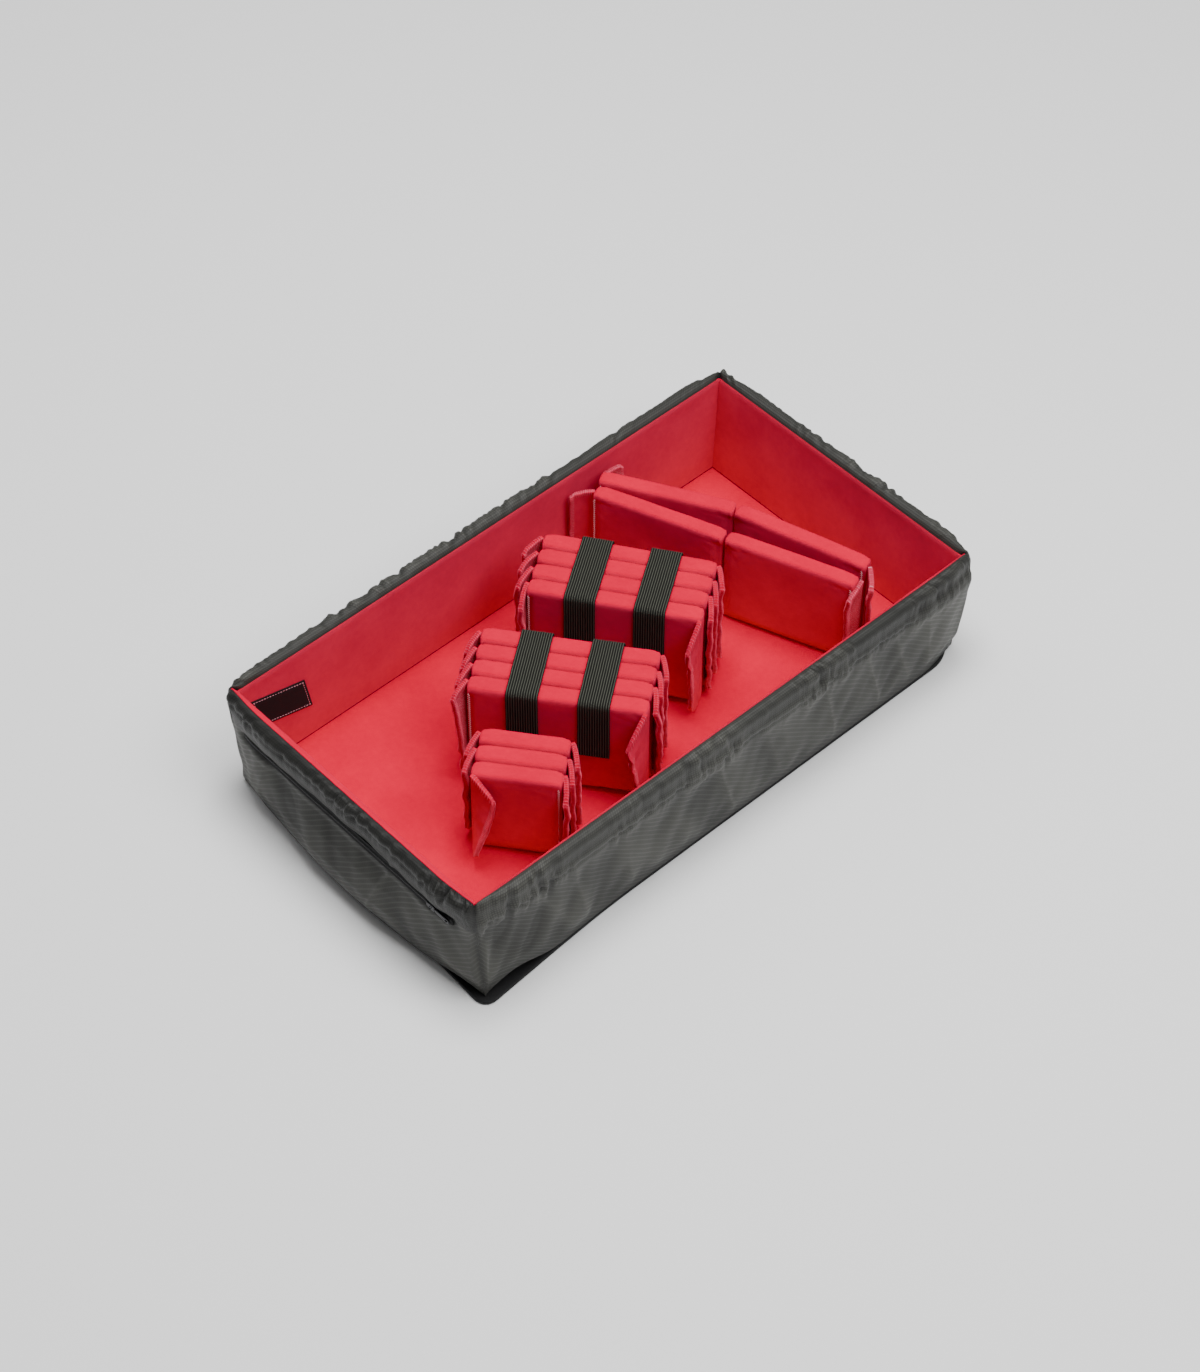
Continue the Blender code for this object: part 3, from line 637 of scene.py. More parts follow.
def make_solid(piece, thickness):
    thicken(piece, thickness)
    smooth(piece)


def settle(piece, body, key, nodes=()):
    """Material, slot, body and the nodes that the piece stands for."""
    piece.data.materials.clear()
    piece.data.materials.append(surface(key))
    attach(piece, body)
    if nodes:
        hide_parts(*nodes)
    return piece


def shape_from(piece):
    """The points and faces of a small shape, whose object is removed."""
    shape = points_of(piece), [tuple(face.vertices) for face in piece.data.polygons]
    bpy.data.objects.remove(piece)
    return shape


def row_of(name, shape, frames):
    """Copies of one small shape, each at its own frame, as one mesh."""
    points, faces = shape
    corners, polygons = [], []
    for number, (origin, axes) in enumerate(frames):
        corners.append(points @ axes + origin)
        base = number * len(points)
        polygons += [tuple(base + index for index in face) for face in faces]
    mesh = bpy.data.meshes.new(name)
    mesh.from_pydata(np.concatenate(corners).tolist(), [], polygons)
    piece = bpy.data.objects.new(name, mesh)
    bpy.context.scene.collection.objects.link(piece)
    smooth(piece, 80.0)
    return piece


def small_bead(length, radius):
    """One running stitch, modelled once from a ball."""
    bead = added(bpy.ops.mesh.primitive_uv_sphere_add, segments=8, ring_count=4, radius=1)
    edited(bead, resized(length / 2, radius, radius))
    return shape_from(bead)


def ripples(x, y, scale, seed=0.0):
    """Smooth noise at many places, about -1 to 1."""
    return np.array(
        [noise.noise((a * scale, b * scale, seed)) for a, b in zip(*np.broadcast_arrays(x, y))]
    )


def bell(distance, width):
    return np.exp(-((np.asarray(distance) / width) ** 2))


def eased(value, low, high):
    """0 below one limit, 1 above the other and a smooth rise between."""
    share = np.clip((np.asarray(value, float) - low) / (high - low), 0, 1)
    return share * share * (3 - 2 * share)


def unit(direction):
    return direction / np.linalg.norm(direction)


# The tub's shape


def half_inside(height):
    rise = height / TUB_HEIGHT
    return (
        INNER_LENGTH / 2 + MOUTH_GAINS[0] / 2 * rise,
        INNER_WIDTH / 2 + MOUTH_GAINS[1] / 2 * rise,
    )


def softened(x, y, z):
    """Where the soft wall really stands, as the frame's own walls do."""
    halves = half_inside(z)
    rise = z / TUB_HEIGHT
    draw = CORNER_DRAW * np.interp(rise, HEIGHT_SHARES, DRAW_SHARES)
    belly = np.interp(rise, HEIGHT_SHARES, BELLY_SHARES)

    def moved(here, half, other, other_half, most):
        foam = np.clip((abs(here) - half - FOAM_INSIDE) / WALL_FOAM, 0, 1)
        away = np.clip((other_half + WALL - abs(other)) / CORNER_REACH, 0, 1)
        bow = np.cos(np.pi / 2 * np.minimum(abs(other) / (other_half + WALL), 1))
        move = most * belly * bow - draw * (1 + np.cos(np.pi * away)) / 2
        return here + np.sign(here) * move * foam

    soft_x = moved(x, halves[0], y, halves[1], BELLIES[0])
    soft_y = moved(y, halves[1], x, halves[0], BELLIES[1])
    return soft_x, soft_y


def wall_points(wall, share, depth, height):
    """Points of a wall: share along it from -1 to 1, depth through it, height up it."""
    half_x, half_y = half_inside(height)
    out = OUTWARD[wall]
    x = (out[0] or share) * (half_x + depth)
    y = (out[1] or share) * (half_y + depth)
    return table(*softened(x, y, height), height)


def along(wall, across):
    """Share along a wall, running so that the sheet's front faces outwards."""
    return (2 * across - 1) * (1 if wall in ("front", "right") else -1)


def half_length(wall):
    half_x, half_y = half_inside(TUB_HEIGHT / 2)
    return (half_y if OUTWARD[wall][0] else half_x) + WALL


def cover_profile(q):
    """Depth, height and the outward direction at a distance up the cover and over the rim."""
    turn = np.clip((q - COVER_SIDE) / ROLL, 0, math.pi)
    over = np.maximum(q - COVER_SIDE - math.pi * ROLL, 0)
    on_side = q < COVER_SIDE
    depth = np.where(on_side, WALL, ROLL + ROLL * np.cos(turn))
    height = np.where(on_side, COVER_BOTTOM + q, ROLL_HEIGHT + ROLL * np.sin(turn)) - over
    return depth, height, np.cos(turn), np.sin(turn)


def wrap_of(wall, tub):
    return {"front": tub.near_wrap, "left": tub.end_wrap}.get(wall, tub.far_wrap)


def zip_wobble(y):
    """How far the zip's line wanders up and down along the soft wall."""
    return ZIP_WOBBLE * ripples(y, 0, 19, 4.0)


def zip_run(s):
    """1 along the zip, falling to 0 past its ends."""
    return 1 - eased(abs(s), ZIP_HALF - 6 * MM, ZIP_HALF + 8 * MM)


def loose_folds(s, q, seed, slack, corner):
    """Soft slanting folds with a few crisp ones among them."""
    loose = 0.6 * ripples(s + 0.5 * q, q * 0.35, 22, seed)
    loose = loose + 0.4 * ripples(s * 1.3 - 0.6 * q, q * 0.5, 47, seed + 5)
    crisp = np.clip(1 - 6 * abs(ripples(s + 0.3 * q, q * 0.15, 19, seed + 7)), 0, 1) ** 2
    return slack * ((loose + 0.2) * (0.6 + 0.9 * corner) + 0.28 * crisp)


def gathers(s, q, seed):
    """Short sharp puckers, in clusters."""
    clusters = 0.3 + 0.9 * eased(ripples(s, 0, 17, seed + 9), -0.2, 0.35)
    warp = 3 * MM * ripples(s, q, 60, seed + 11)
    ridge = np.clip(1 - 2.4 * abs(ripples(s + warp, q * 0.25, 105, seed + 2)), -0.6, 1)
    fine = np.clip(1 - 2.4 * abs(ripples(s - warp, q * 0.3, 220, seed + 3)), -0.6, 1)
    return (ridge + 0.45 * fine) * clusters


def zip_folds(out, s, height, welt):
    """Calm the cloth at the zip, with a fold standing over it and a hollow along it."""
    run = zip_run(s)
    up = height - ZIP_HEIGHT - zip_wobble(s)
    wave = 0.8 + 0.6 * ripples(s, 0, 30, 8.0)
    out = out * (1 - run * bell(up, 5 * MM))
    out = out + welt * wave * run * bell(up - 6.8 * MM, 3.2 * MM)
    out = out + 2.6 * MM * wave * run * bell(up - 17 * MM, 7 * MM)
    out = out + 0.4 * welt * run * bell(up + 6.4 * MM, 3.0 * MM)
    return out - 1.6 * MM * run * bell(up + 1.2 * MM, 5.2 * MM)


def wall_wrinkles(wall, s, q, height, tub):
    """How far the nylon stands out from its foam."""
    seed = 3.7 * WALL_NAMES.index(wall)
    inward = half_length(wall) - abs(s)
    corner = bell(inward, 34 * MM)
    # The rim band is sewn on here; at the zipped end it is close to the rim
    seam = (LEFT_SEAM if wall == "left" else tub.band_height) - COVER_BOTTOM
    body = eased(q, 3 * MM, 22 * MM) * (1 - eased(q, seam - 4 * MM, seam + 8 * MM))
    out = body * loose_folds(s, q, seed, tub.slack, corner)
    reach = bell(q - seam, 10 * MM) + 0.6 * bell(q - COVER_SIDE - 5 * MM, 8 * MM)
    out = out + 0.55 * tub.pucker * gathers(s, q, seed) * reach * (0.8 + 0.8 * corner)
    # A stitched groove with a small welt over it
    out = out - 0.5 * MM * bell(q - seam, 1.3 * MM)
    out = out + 0.8 * MM * bell(q - seam - 3.6 * MM, 2.4 * MM)
    if wall == "left":
        out = zip_folds(out, s, height, tub.welt)
    # The nylon lies flat under the lining's edge and at the corners
    turn = (q - COVER_SIDE) / ROLL
    edge = math.pi - wrap_of(wall, tub)
    out = out * (1 - eased(turn, edge - 0.5, edge - 0.1)) * (1 - bell(inward, 3 * MM))
    out = np.maximum(out, -MOST_SINK)
    out = np.where(out > 0, MOST_STAND * np.tanh(out / MOST_STAND), out)
    if wall != "front":
        # The far corners hang out over the base
        low = 1 - eased(q, 0, 30 * MM)
        out = out + 4.5 * MM * bell(inward - 6 * MM, 20 * MM) * low * (s > 0)
    # The corner seams, deepest at the rim
    out = out - 0.7 * MM * bell(inward, 1.1 * MM) * eased(q, 0, 10 * MM)
    at_rim = eased(q, COVER_SIDE - 2 * MM, COVER_SIDE + 3 * MM)
    return out - 1.6 * MM * bell(inward, 2.6 * MM) * at_rim


def fold_shades(wall, s, q, stand, tub):
    """Painted shade: darker in the hollows of the folds and lighter on their ridges, darker along the zip and on
    the left wall's rim band, which faces away from the light; the front wall's rim band grows darker towards its
    end away from the zip.
    """
    shade = 0.50 + 0.78 * eased(stand, -1.0 * MM, 3.2 * MM)
    if wall == "left":
        up = q + COVER_BOTTOM - ZIP_HEIGHT
        shade = shade * (1 - 0.74 * eased(up, 2 * MM, 6 * MM))
        shade = shade * (1 - 0.5 * zip_run(s) * bell(up + 2 * MM, 7 * MM))
    elif wall == "front":
        band = eased(q, tub.band_height - 8 * MM, tub.band_height - 2 * MM)
        shade = shade * (1 - 0.36 * band * eased(s, 10 * MM, 170 * MM))
    return shade


def flared(x, y, z):
    """Draw the soft foot of the near corner outwards, as it stands on the ground."""
    run, back = np.maximum(x - BASE_LOW.x, 0), np.maximum(y - BASE_LOW.y, 0)
    fall = 1 - eased(z, 2 * MM, 62 * MM)
    move_x = -FLARE[0] * (1 - eased(back, -60 * MM, 110 * MM)) * bell(run, 40 * MM) * fall
    move_y = -FLARE[1] * (1 - eased(run, -90 * MM, 150 * MM)) * bell(back, 40 * MM) * fall
    return x + move_x, y + move_y


def sagged(x, y, z):
    """Let the loose cloth of the zipped end hang out over the base at its middle."""
    bow = np.clip(np.cos(math.pi * y / (BASE_HIGH.y - BASE_LOW.y)), 0, 1) ** 1.5
    near = bell(np.maximum(x - BASE_LOW.x, 0), 14 * MM)
    return x - SAG * bow * near * (1 - eased(z, 6 * MM, 72 * MM))


class CASE_OT_base(bpy.types.Operator):
    """Wrap the base board in black cloth, its near corner pulled out"""

    bl_idname = "case.base"
    bl_label = "Base"

    def execute(self, context):
        low, high = BASE_LOW, BASE_HIGH
        piece, across, up = grid("base_board_cloth", 150, 90)
        half = np.array([high.x - low.x, high.y - low.y]) / 2
        middle = np.array([high.x + low.x, high.y + low.y]) / 2
        flat = table((2 * across - 1) * half[0], (2 * up - 1) * half[1])
        near = (flat[:, 0] < 0) & (flat[:, 1] < 0)
        radius = np.where(near, *BASE_RADII)[:, None]
        corner = np.maximum(abs(flat) - half + radius, 0)
        length = np.maximum(np.hypot(*corner.T), 1e-9)
        rounded = corner * (corner.max(axis=1) / length)[:, None]
        flat = np.sign(flat) * (abs(flat) - corner + rounded) + middle
        x, y = flared(*flat.T, flat[:, 0] * 0)
        shape_sheet(piece, table(x, y, high.z), table(x, y, 0))
        thicken(piece, high.z - low.z)
        bevelled(piece, 0.8 * MM, 3, 50)
        smooth(piece)
        settle(piece, "tub", "board", ["base_board"])
        return {"FINISHED"}


class CASE_OT_outer_cover(bpy.types.Operator):
    """Sew the nylon cover of each wall, with its puckered rim band and corner seams"""

    bl_idname = "case.outer_cover"
    bl_label = "Outer cover"

    def execute(self, context):
        for wall in WALL_NAMES:
            self.cover(wall, context.scene.case_tub)
        return {"FINISHED"}

    def cover(self, wall, tub):
        total = COVER_SIDE + math.pi * ROLL + 1 * MM
        columns = int(2 * half_length(wall) / (1.35 * MM))
        piece, across, up = grid(f"{wall}_nylon", columns, int(total / (1.3 * MM)))
        share = along(wall, across)
        q = up * total
        depth, height, out, rise = cover_profile(q)
        s = share * half_length(wall)
        points = wall_points(wall, share, depth, height)
        stand = wall_wrinkles(wall, s, q, height, tub)
        points[:, :2] += np.array(OUTWARD[wall], float) * (stand * out)[:, None]
        points[:, 2] += np.maximum(stand * rise, -MOST_SINK)
        inward = half_length(wall) - abs(s)
        lift = CORNER_LIFTS.get(wall, 0.0) * (s < 0)
        points[:, 2] += lift * bell(inward - 34 * MM, 24 * MM) * (1 - eased(q, 0, 44 * MM))
        points[:, 0] = sagged(*points.T)
        points[:, 0], points[:, 1] = flared(*points.T)
        shape_sheet(piece, points, table(s, q + COVER_BOTTOM, WALL_NAMES.index(wall)))
        # Painted shade of the folds, the zip and the rim bands, kept on the mesh for the nylon's colour
        set_painted_shade(piece, fold_shades(wall, s, q, stand, tub))
        make_solid(piece, tub.cover_thickness)
        settle(piece, "tub", "nylon", [f"{wall}_cover"])


class CASE_OT_lining(bpy.types.Operator):
    """Line the tub with loop cloth, lapped over the rim"""

    bl_idname = "case.lining"
    bl_label = "Lining"

    def execute(self, context):
        tub = context.scene.case_tub
        self.floor(tub)
        for wall in WALL_NAMES:
            self.wall(wall, tub)
        return {"FINISHED"}

    def floor(self, tub):
        piece, across, up = grid("floor_lining", 160, 90)
        half_x, half_y = half_inside(FLOOR_TOP)
        x = (2 * across - 1) * half_x
        y = (2 * up - 1) * half_y
        edge = np.minimum(half_x - abs(x), half_y - abs(y))
        z = FLOOR_TOP - 0.15 * MM + 0.12 * MM * ripples(x, y, 14, 2.0)
        shape_sheet(piece, table(x, y, z - 0.7 * MM * bell(edge, 1.6 * MM)), table(x, y, 7))
        make_solid(piece, tub.lining_thickness)
        settle(piece, "tub", "red", ["lining"])

    def wall(self, wall, tub):
        wrap = wrap_of(wall, tub)
        side = ROLL_HEIGHT - FLOOR_TOP
        roll = ROLL + LINING_LIFT
        total = side + wrap * roll
        piece, across, up = grid(
            f"{wall}_lining", int(2 * half_length(wall) / (2.6 * MM)), int(total / (2.2 * MM))
        )
        share = -along(wall, across)
        q = up * total
        turn = np.clip((q - side) / roll, 0, wrap)
        height = np.where(q < side, FLOOR_TOP + q, ROLL_HEIGHT + roll * np.sin(turn))
        flat_depth = -LINING_LIFT * eased(q, side - 12 * MM, side)
        depth = np.where(q < side, flat_depth, ROLL - roll * np.cos(turn))
        s = share * half_length(wall)
        seed = 11.0 + WALL_NAMES.index(wall)
        calm = eased(q, 0, 20 * MM) * (1 - eased(q, side - 14 * MM, side))
        depth = depth - 0.9 * MM * calm * (0.5 + 0.5 * ripples(s, q * 1.3, 14, seed))
        rim = eased(q, side - 6 * MM, side)
        depth = depth - 0.22 * MM * rim * ripples(s, 0, 120, seed)
        shape_sheet(piece, wall_points(wall, share, depth, height), table(s, q, seed))
        make_solid(piece, tub.lining_thickness)
        settle(piece, "tub", "red", ["lining"])


# Padded dividers


def plan_frame(node_name, run, across):
    """Middle and size of a frame solid along two level directions, and its lowest point."""
    points = points_of(frame["nodes"][node_name])
    x, y = points[:, :2] @ run, points[:, :2] @ across
    middle = run * (x.max() + x.min()) / 2 + across * (y.max() + y.min()) / 2
    size = np.array([np.ptp(x), np.ptp(y), np.ptp(points[:, 2])])
    return middle, size, points[:, 2].min()


def pad_frame(node_name):
    """Middle, length direction and size of a straight panel, from its frame solid."""
    points = points_of(frame["nodes"][node_name])
    flat = points[:, :2] - (points[:, :2].max(0) + points[:, :2].min(0)) / 2
    run = np.linalg.eigh(flat.T @ flat)[1][:, 1]
    if run[1] > 0:
        run = -run
    across = np.array([-run[1], run[0]])
    middle, size, low = plan_frame(node_name, run, across)
    return middle, run, across, size, low


# The cloth step that fills a pad
CLOTH = {
    "quality": 6, "mass": 0.3, "tension_stiffness": 25, "compression_stiffness": 25,
    "shear_stiffness": 8, "bending_stiffness": 1.5, "use_pressure": True,
}
CLOTH_FRAMES = 20


def fill_with_air(piece, pressure, most):
    """Cloth pressure on a closed pad, its travel capped, then applied to the mesh."""
    before = points_of(piece)
    active(piece)
    cloth = piece.modifiers.new("fill", "CLOTH")
    for key, value in CLOTH.items():
        setattr(cloth.settings, key, value)
    cloth.settings.uniform_pressure_force = pressure
    cloth.settings.effector_weights.gravity = 0
    scene = bpy.context.scene
    for step in range(CLOTH_FRAMES):
        scene.frame_set(step + 1)
    bpy.ops.object.modifier_apply(modifier=cloth.name)
    move = points_of(piece) - before
    far = np.linalg.norm(move, axis=1)
    move *= np.minimum(1, most / np.maximum(far, 1e-9))[:, None]
    set_points(piece, before + move)
    scene.frame_set(1)


def master_pad(name, size, pads):
    """One simulated pad of a kind, about its own middle."""
    length, thick, high = size
    piece = added(bpy.ops.mesh.primitive_cube_add, name, size=1, location=(0, 0, 0))
    edited(
        piece,
        resized(length - 2 * MM, thick - 3.2 * MM, high - 2 * MM),
        (bpy.ops.mesh.bevel, {"offset": pads.edge_radius, "segments": 3, "affect": "EDGES"}),
    )
    apply_modifier(piece, "REMESH", mode="VOXEL", voxel_size=pads.voxel)
    fill_with_air(piece, pads.pressure, pads.swell)
    apply_modifier(piece, "SUBSURF", levels=1, render_levels=1)
    fit_pad(piece, size, pads)
    return piece


SQUARENESS = 7


def fit_pad(piece, size, pads):
    """Bring the swollen pad back to its sewn size, flat where neighbours press on it."""
    points = points_of(piece)
    for axis in range(3):
        low, high = points[:, axis].min(), points[:, axis].max()
        points[:, axis] = (points[:, axis] - (low + high) / 2) * size[axis] / (high - low)
    length, thick, high = size
    x, y, z = points.T
    foot = high / 2 + z
    # Push the ends and the faces out until they are flat
    limit = thick / 2 + 0.02 * MM
    x = np.sign(x) * np.minimum(abs(x) + 2.2 * MM * eased(abs(x), 0, length / 2), length / 2)
    end = length / 2 - abs(x)
    y = np.sign(y) * np.minimum(abs(y) * 1.25, limit)
    # Square off the round top
    rise = z - (high / 2 - limit)
    slope = np.arctan2(rise, y)
    power = abs(np.cos(slope)) ** SQUARENESS + abs(np.sin(slope)) ** SQUARENESS
    reach = limit / power ** (1 / SQUARENESS)
    square = 0.85 * eased(end, 0.1 * MM, 1.5 * MM) * eased(rise, 0, 1 * MM)
    y = y + square * (reach * np.cos(slope) - y)
    z = z + square * (reach * np.sin(slope) - rise)
    # Sew the ends and the foot, and let the top fall at the ends
    y = y * (1 - 0.05 * bell(end, 1.6 * MM))
    face = eased(abs(y), thick * 0.3, thick * 0.46)
    seam = bell(end - 3.4 * MM, 1.3 * MM) + 0.7 * bell(foot - 3 * MM, 1.2 * MM)
    y = y - np.sign(y) * pads.seam_depth * face * np.minimum(seam, 1)
    z = z - 1.2 * MM * bell(end, 5 * MM) * bell(high / 2 - z, 16 * MM)
    set_points(piece, table(x, y, z))


def copy_of(master, name):
    made = master.copy()
    made.data = master.data.copy()
    made.name = name
    made.data.name = name
    bpy.context.scene.collection.objects.link(made)
    return made


def place_pad(master, node_name, master_size, seed):
    """A copy of the simulated pad at a divider's place, with folds of its own."""
    middle, run, across, size, low = pad_frame(node_name)
    piece = copy_of(master, node_name + "_pad")
    x, y, z = (points_of(piece) * (size / np.array(master_size))).T
    places = table(x + seed, z + y, y)
    dents = ripples(x + y, z, 28, seed)
    y = y - np.sign(y) * 0.2 * MM * (0.5 + 0.5 * dents)
    creased = bell(size[0] / 2 - abs(x), 22 * MM) * bell(size[2] / 2 - z, 26 * MM)
    pulls = np.clip(1 - 3 * abs(ripples(x * 0.5 + z, x * 0.2, 95, seed + 8)), 0, 1)
    y = y - np.sign(y) * 0.5 * MM * creased * pulls
    top = size[2] / 2 - z
    z = z - 0.7 * MM * bell(top, 10 * MM) * (0.5 + 0.5 * ripples(x, y * 2, 33, seed + 4))
    plan = middle + np.outer(x, run) + np.outer(y, across)
    shape_sheet(piece, table(*plan.T, z + size[2] / 2 + low), places)
    smooth(piece)
    settle(piece, BODY_OF[node_name], "red", [node_name])


class CASE_OT_padded_dividers(bpy.types.Operator):
    """Fill one pad of each kind with cloth pressure and set its copies in place"""

    bl_idname = "case.padded_dividers"
    bl_label = "Padded dividers"

    def execute(self, context):
        pads = context.scene.case_pads
        for label, names in (("medium", MEDIUM), ("small", SMALL), ("long", LONG)):
            size = pad_frame(names[0])[3]
            master = master_pad(label + "_master", size, pads)
            for number, name in enumerate(names):
                place_pad(master, name, size, 1.7 * number)
            bpy.data.objects.remove(master)
        return {"FINISHED"}


# Flaps


def hinge_of(node_name):
    return np.array(HINGES[node_name + "_body"]["pos_m"][:2])


def flap_turn(node_name, side, curl):
    """The direction in which a flap leaves its seam, from its frame solid's chord."""
    points = points_of(frame["nodes"][node_name])[:, :2] - hinge_of(node_name)
    far = np.linalg.norm(points, axis=1)
    chord = points[far > far.max() - 0.6 * MM].mean(0)
    return math.atan2(chord[1], chord[0]) + side * curl / 2


LEVELS = (0.0, 0.35, 0.75, 1.0)
# Curl, fall of the top edge, narrowing of the foot, then how much further forward than its frame
# solid the flap is folded at four levels from the foot up, angles in degrees
STYLES = {
    "far_divider_4_left_flap": (14, 9 * MM, 0.1, (22, 21, 20, 17)),
    "middle_divider_4_left_flap": (14, 4 * MM, 0.1, (16, 16, 8, -2)),
    "small_divider_3_left_flap": (14, 17 * MM, 0.0, (-28, -10, 16, 22)),
    "far_divider_4_right_flap": (14, 18 * MM, 0.1, (-22, -24, -20, -12)),
    "middle_divider_4_right_flap": (14, 24 * MM, 0.1, (-28, -26, -16, -8)),
    "middle_divider_3_right_flap": (14, 6 * MM, 0.3, (-11, -11, -7, 0)),
    "small_divider_3_right_flap": (14, 9 * MM, 0.2, (10, 4, 0, 0)),
    "long_front_left_flap": (22, 4 * MM, 0.0, (6, 6, 6, 6)),
    "long_back_left_flap": (0, 4 * MM, 0.0, (0, 0, 0, 0)),
}
PLAIN_STYLE = (14, 5 * MM, 0.1, (-3, 0, 0, 0))
TOP_LIFT = 2.6 * MM
SEAM_ALLOWANCE = 0.9 * MM


def is_long(node_name):
    return "long" in node_name


def side_of(node_name):
    """1 for a flap on the right end of its divider, -1 for one on the left."""
    return 1 if node_name.endswith("right_flap") else -1


def flap_points(node_name, s_share, up, flaps):
    """Points of a flap's middle surface, the side that faces the front, and the way across."""
    curl, fall, narrow, forwards = STYLES.get(node_name, PLAIN_STYLE)
    curl = math.radians(curl)
    side = side_of(node_name)
    low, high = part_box(node_name)
    origin = hinge_of(node_name)
    seed = sum(map(ord, node_name)) % 17
    width = (flaps.width - SEAM_ALLOWANCE) * (1 - narrow * (1 - eased(up, 0.0, 0.62)))
    s = s_share * width
    forward = side * np.radians(np.interp(up, LEVELS, forwards))
    base = flap_turn(node_name, side, curl) - forward
    bend = -side * curl / flaps.width
    turn = base + bend * s
    middle = base + bend * s / 2
    reach = s * np.sinc(bend * s / 2 / math.pi)
    front = table(np.sin(turn) * side, -np.cos(turn) * side)
    tall = high.z - low.z - 0.6 * MM + (0 if is_long(node_name) else TOP_LIFT)
    wave = flaps.ripple * s_share**1.5 * ripples(up * tall, 0, 70, seed)
    wave = wave + 0.3 * flaps.ripple * s_share * ripples(up * tall, s, 190, seed + 3)
    x = origin[0] + reach * np.cos(middle) + front[:, 0] * wave
    y = origin[1] + reach * np.sin(middle) + front[:, 1] * wave
    drop = fall * s_share**1.4 + 2.2 * MM * eased(s_share, 0.7, 1.0) ** 2
    foot = (5 * MM + 0.35 * fall) * s_share**3 + 0.3 * MM
    z = low.z + foot + up * (tall - drop - foot)
    z = z + 0.6 * MM * ripples(s, 0, 150, seed + 6) * eased(up, 0.9, 1.0)
    return table(x, y, z), front, s


def hem_profile(s_share, up, flaps, tall):
    """1 on the rolled hem of the free and top edges, falling to 0 in the flat of the flap."""
    nearest = np.minimum((1 - s_share) * flaps.width, (1 - up) * tall)
    return 1 - eased(nearest, 1.6 * MM, 3.6 * MM)


def stitch_loop(flaps):
    """One overlock loop around an edge, modelled once: a bent thin rod, open towards -x."""
    piece = added(
        bpy.ops.mesh.primitive_circle_add, vertices=5, radius=flaps.thread, location=(0, 0, 0)
    )
    half = (flaps.thickness + flaps.hem) / 2 + flaps.thread * 0.5
    path = [(2.9 * MM, 0, 0.4 * MM), (0.9 * MM, -half * 0.45, 0.1 * MM), (0, -half * 1.1, 0),
            (-0.9 * MM, -half * 0.45, 0.1 * MM), (-2.9 * MM, 0, 0.4 * MM)]
    extrude = bpy.ops.mesh.extrude_region_move
    edited(
        piece,
        turned_about("Y"),
        (bpy.ops.transform.translate, {"value": (-3.2 * MM, half, -0.5 * MM)}),
        (bpy.ops.mesh.edge_face_add, {}),
        *((extrude, {"TRANSFORM_OT_translate": {"value": move}}) for move in path),
        (bpy.ops.mesh.select_all, {"action": "SELECT"}),
        (bpy.ops.mesh.normals_make_consistent, {"inside": False}),
    )
    return shape_from(piece)


def edge_frames(node_name, flaps):
    """A frame for each overlock loop: along the top from the seam, then down the free edge."""
    low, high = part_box(node_name)
    top = np.linspace(0.12, 0.97, int(flaps.width / flaps.stitch_pitch))
    down = np.linspace(0.985, 0.015, int((high.z - low.z) / flaps.stitch_pitch))
    frames = []
    for s_share, up, inward in (
        (top, top * 0 + 1, (0.0, -0.03)),
        (down * 0 + 1, down, (-0.03, 0.0)),
    ):
        edge, front, _ = flap_points(node_name, s_share, up, flaps)
        inside = flap_points(node_name, s_share + inward[0], up + inward[1], flaps)[0]
        for at, within, facing in zip(edge, inside, front):
            out = unit(at - within)
            normal = np.array([*facing, 0.0])
            normal = unit(normal - out * (normal @ out))
            frames.append((at, np.array([out, normal, np.cross(out, normal)])))
    return frames


def seam_frames(node_name, panel):
    """A frame for each slanting stitch of the seam down the divider's end, on its front face."""
    middle, run, across, size, low = pad_frame(panel)
    pitch = 1.1 * MM
    numbers = np.arange(int((size[2] - 9 * MM) / pitch))
    x = side_of(node_name) * (size[0] / 2 - 2.2 * MM + 0.7 * MM * (-1) ** numbers)
    z = low + 5 * MM + pitch * numbers
    out = np.array([*-across, 0.0])
    frames = []
    for number in numbers[:-1]:
        at = middle + run * x[number] - across * (size[1] / 2 - 0.1 * MM)
        along_seam = unit(np.array([*(run * (x[number + 1] - x[number]) / 2), pitch]))
        start = np.array([*at, z[number]]) + along_seam * pitch / 2
        frames.append((start, np.array([along_seam, out, np.cross(along_seam, out)])))
    return frames


def panel_of(node_name):
    """The divider or panel that a flap is sewn to."""
    if is_long(node_name):
        return node_name.replace("_flap", "_panel")
    return node_name.replace("_left_flap", "").replace("_right_flap", "")


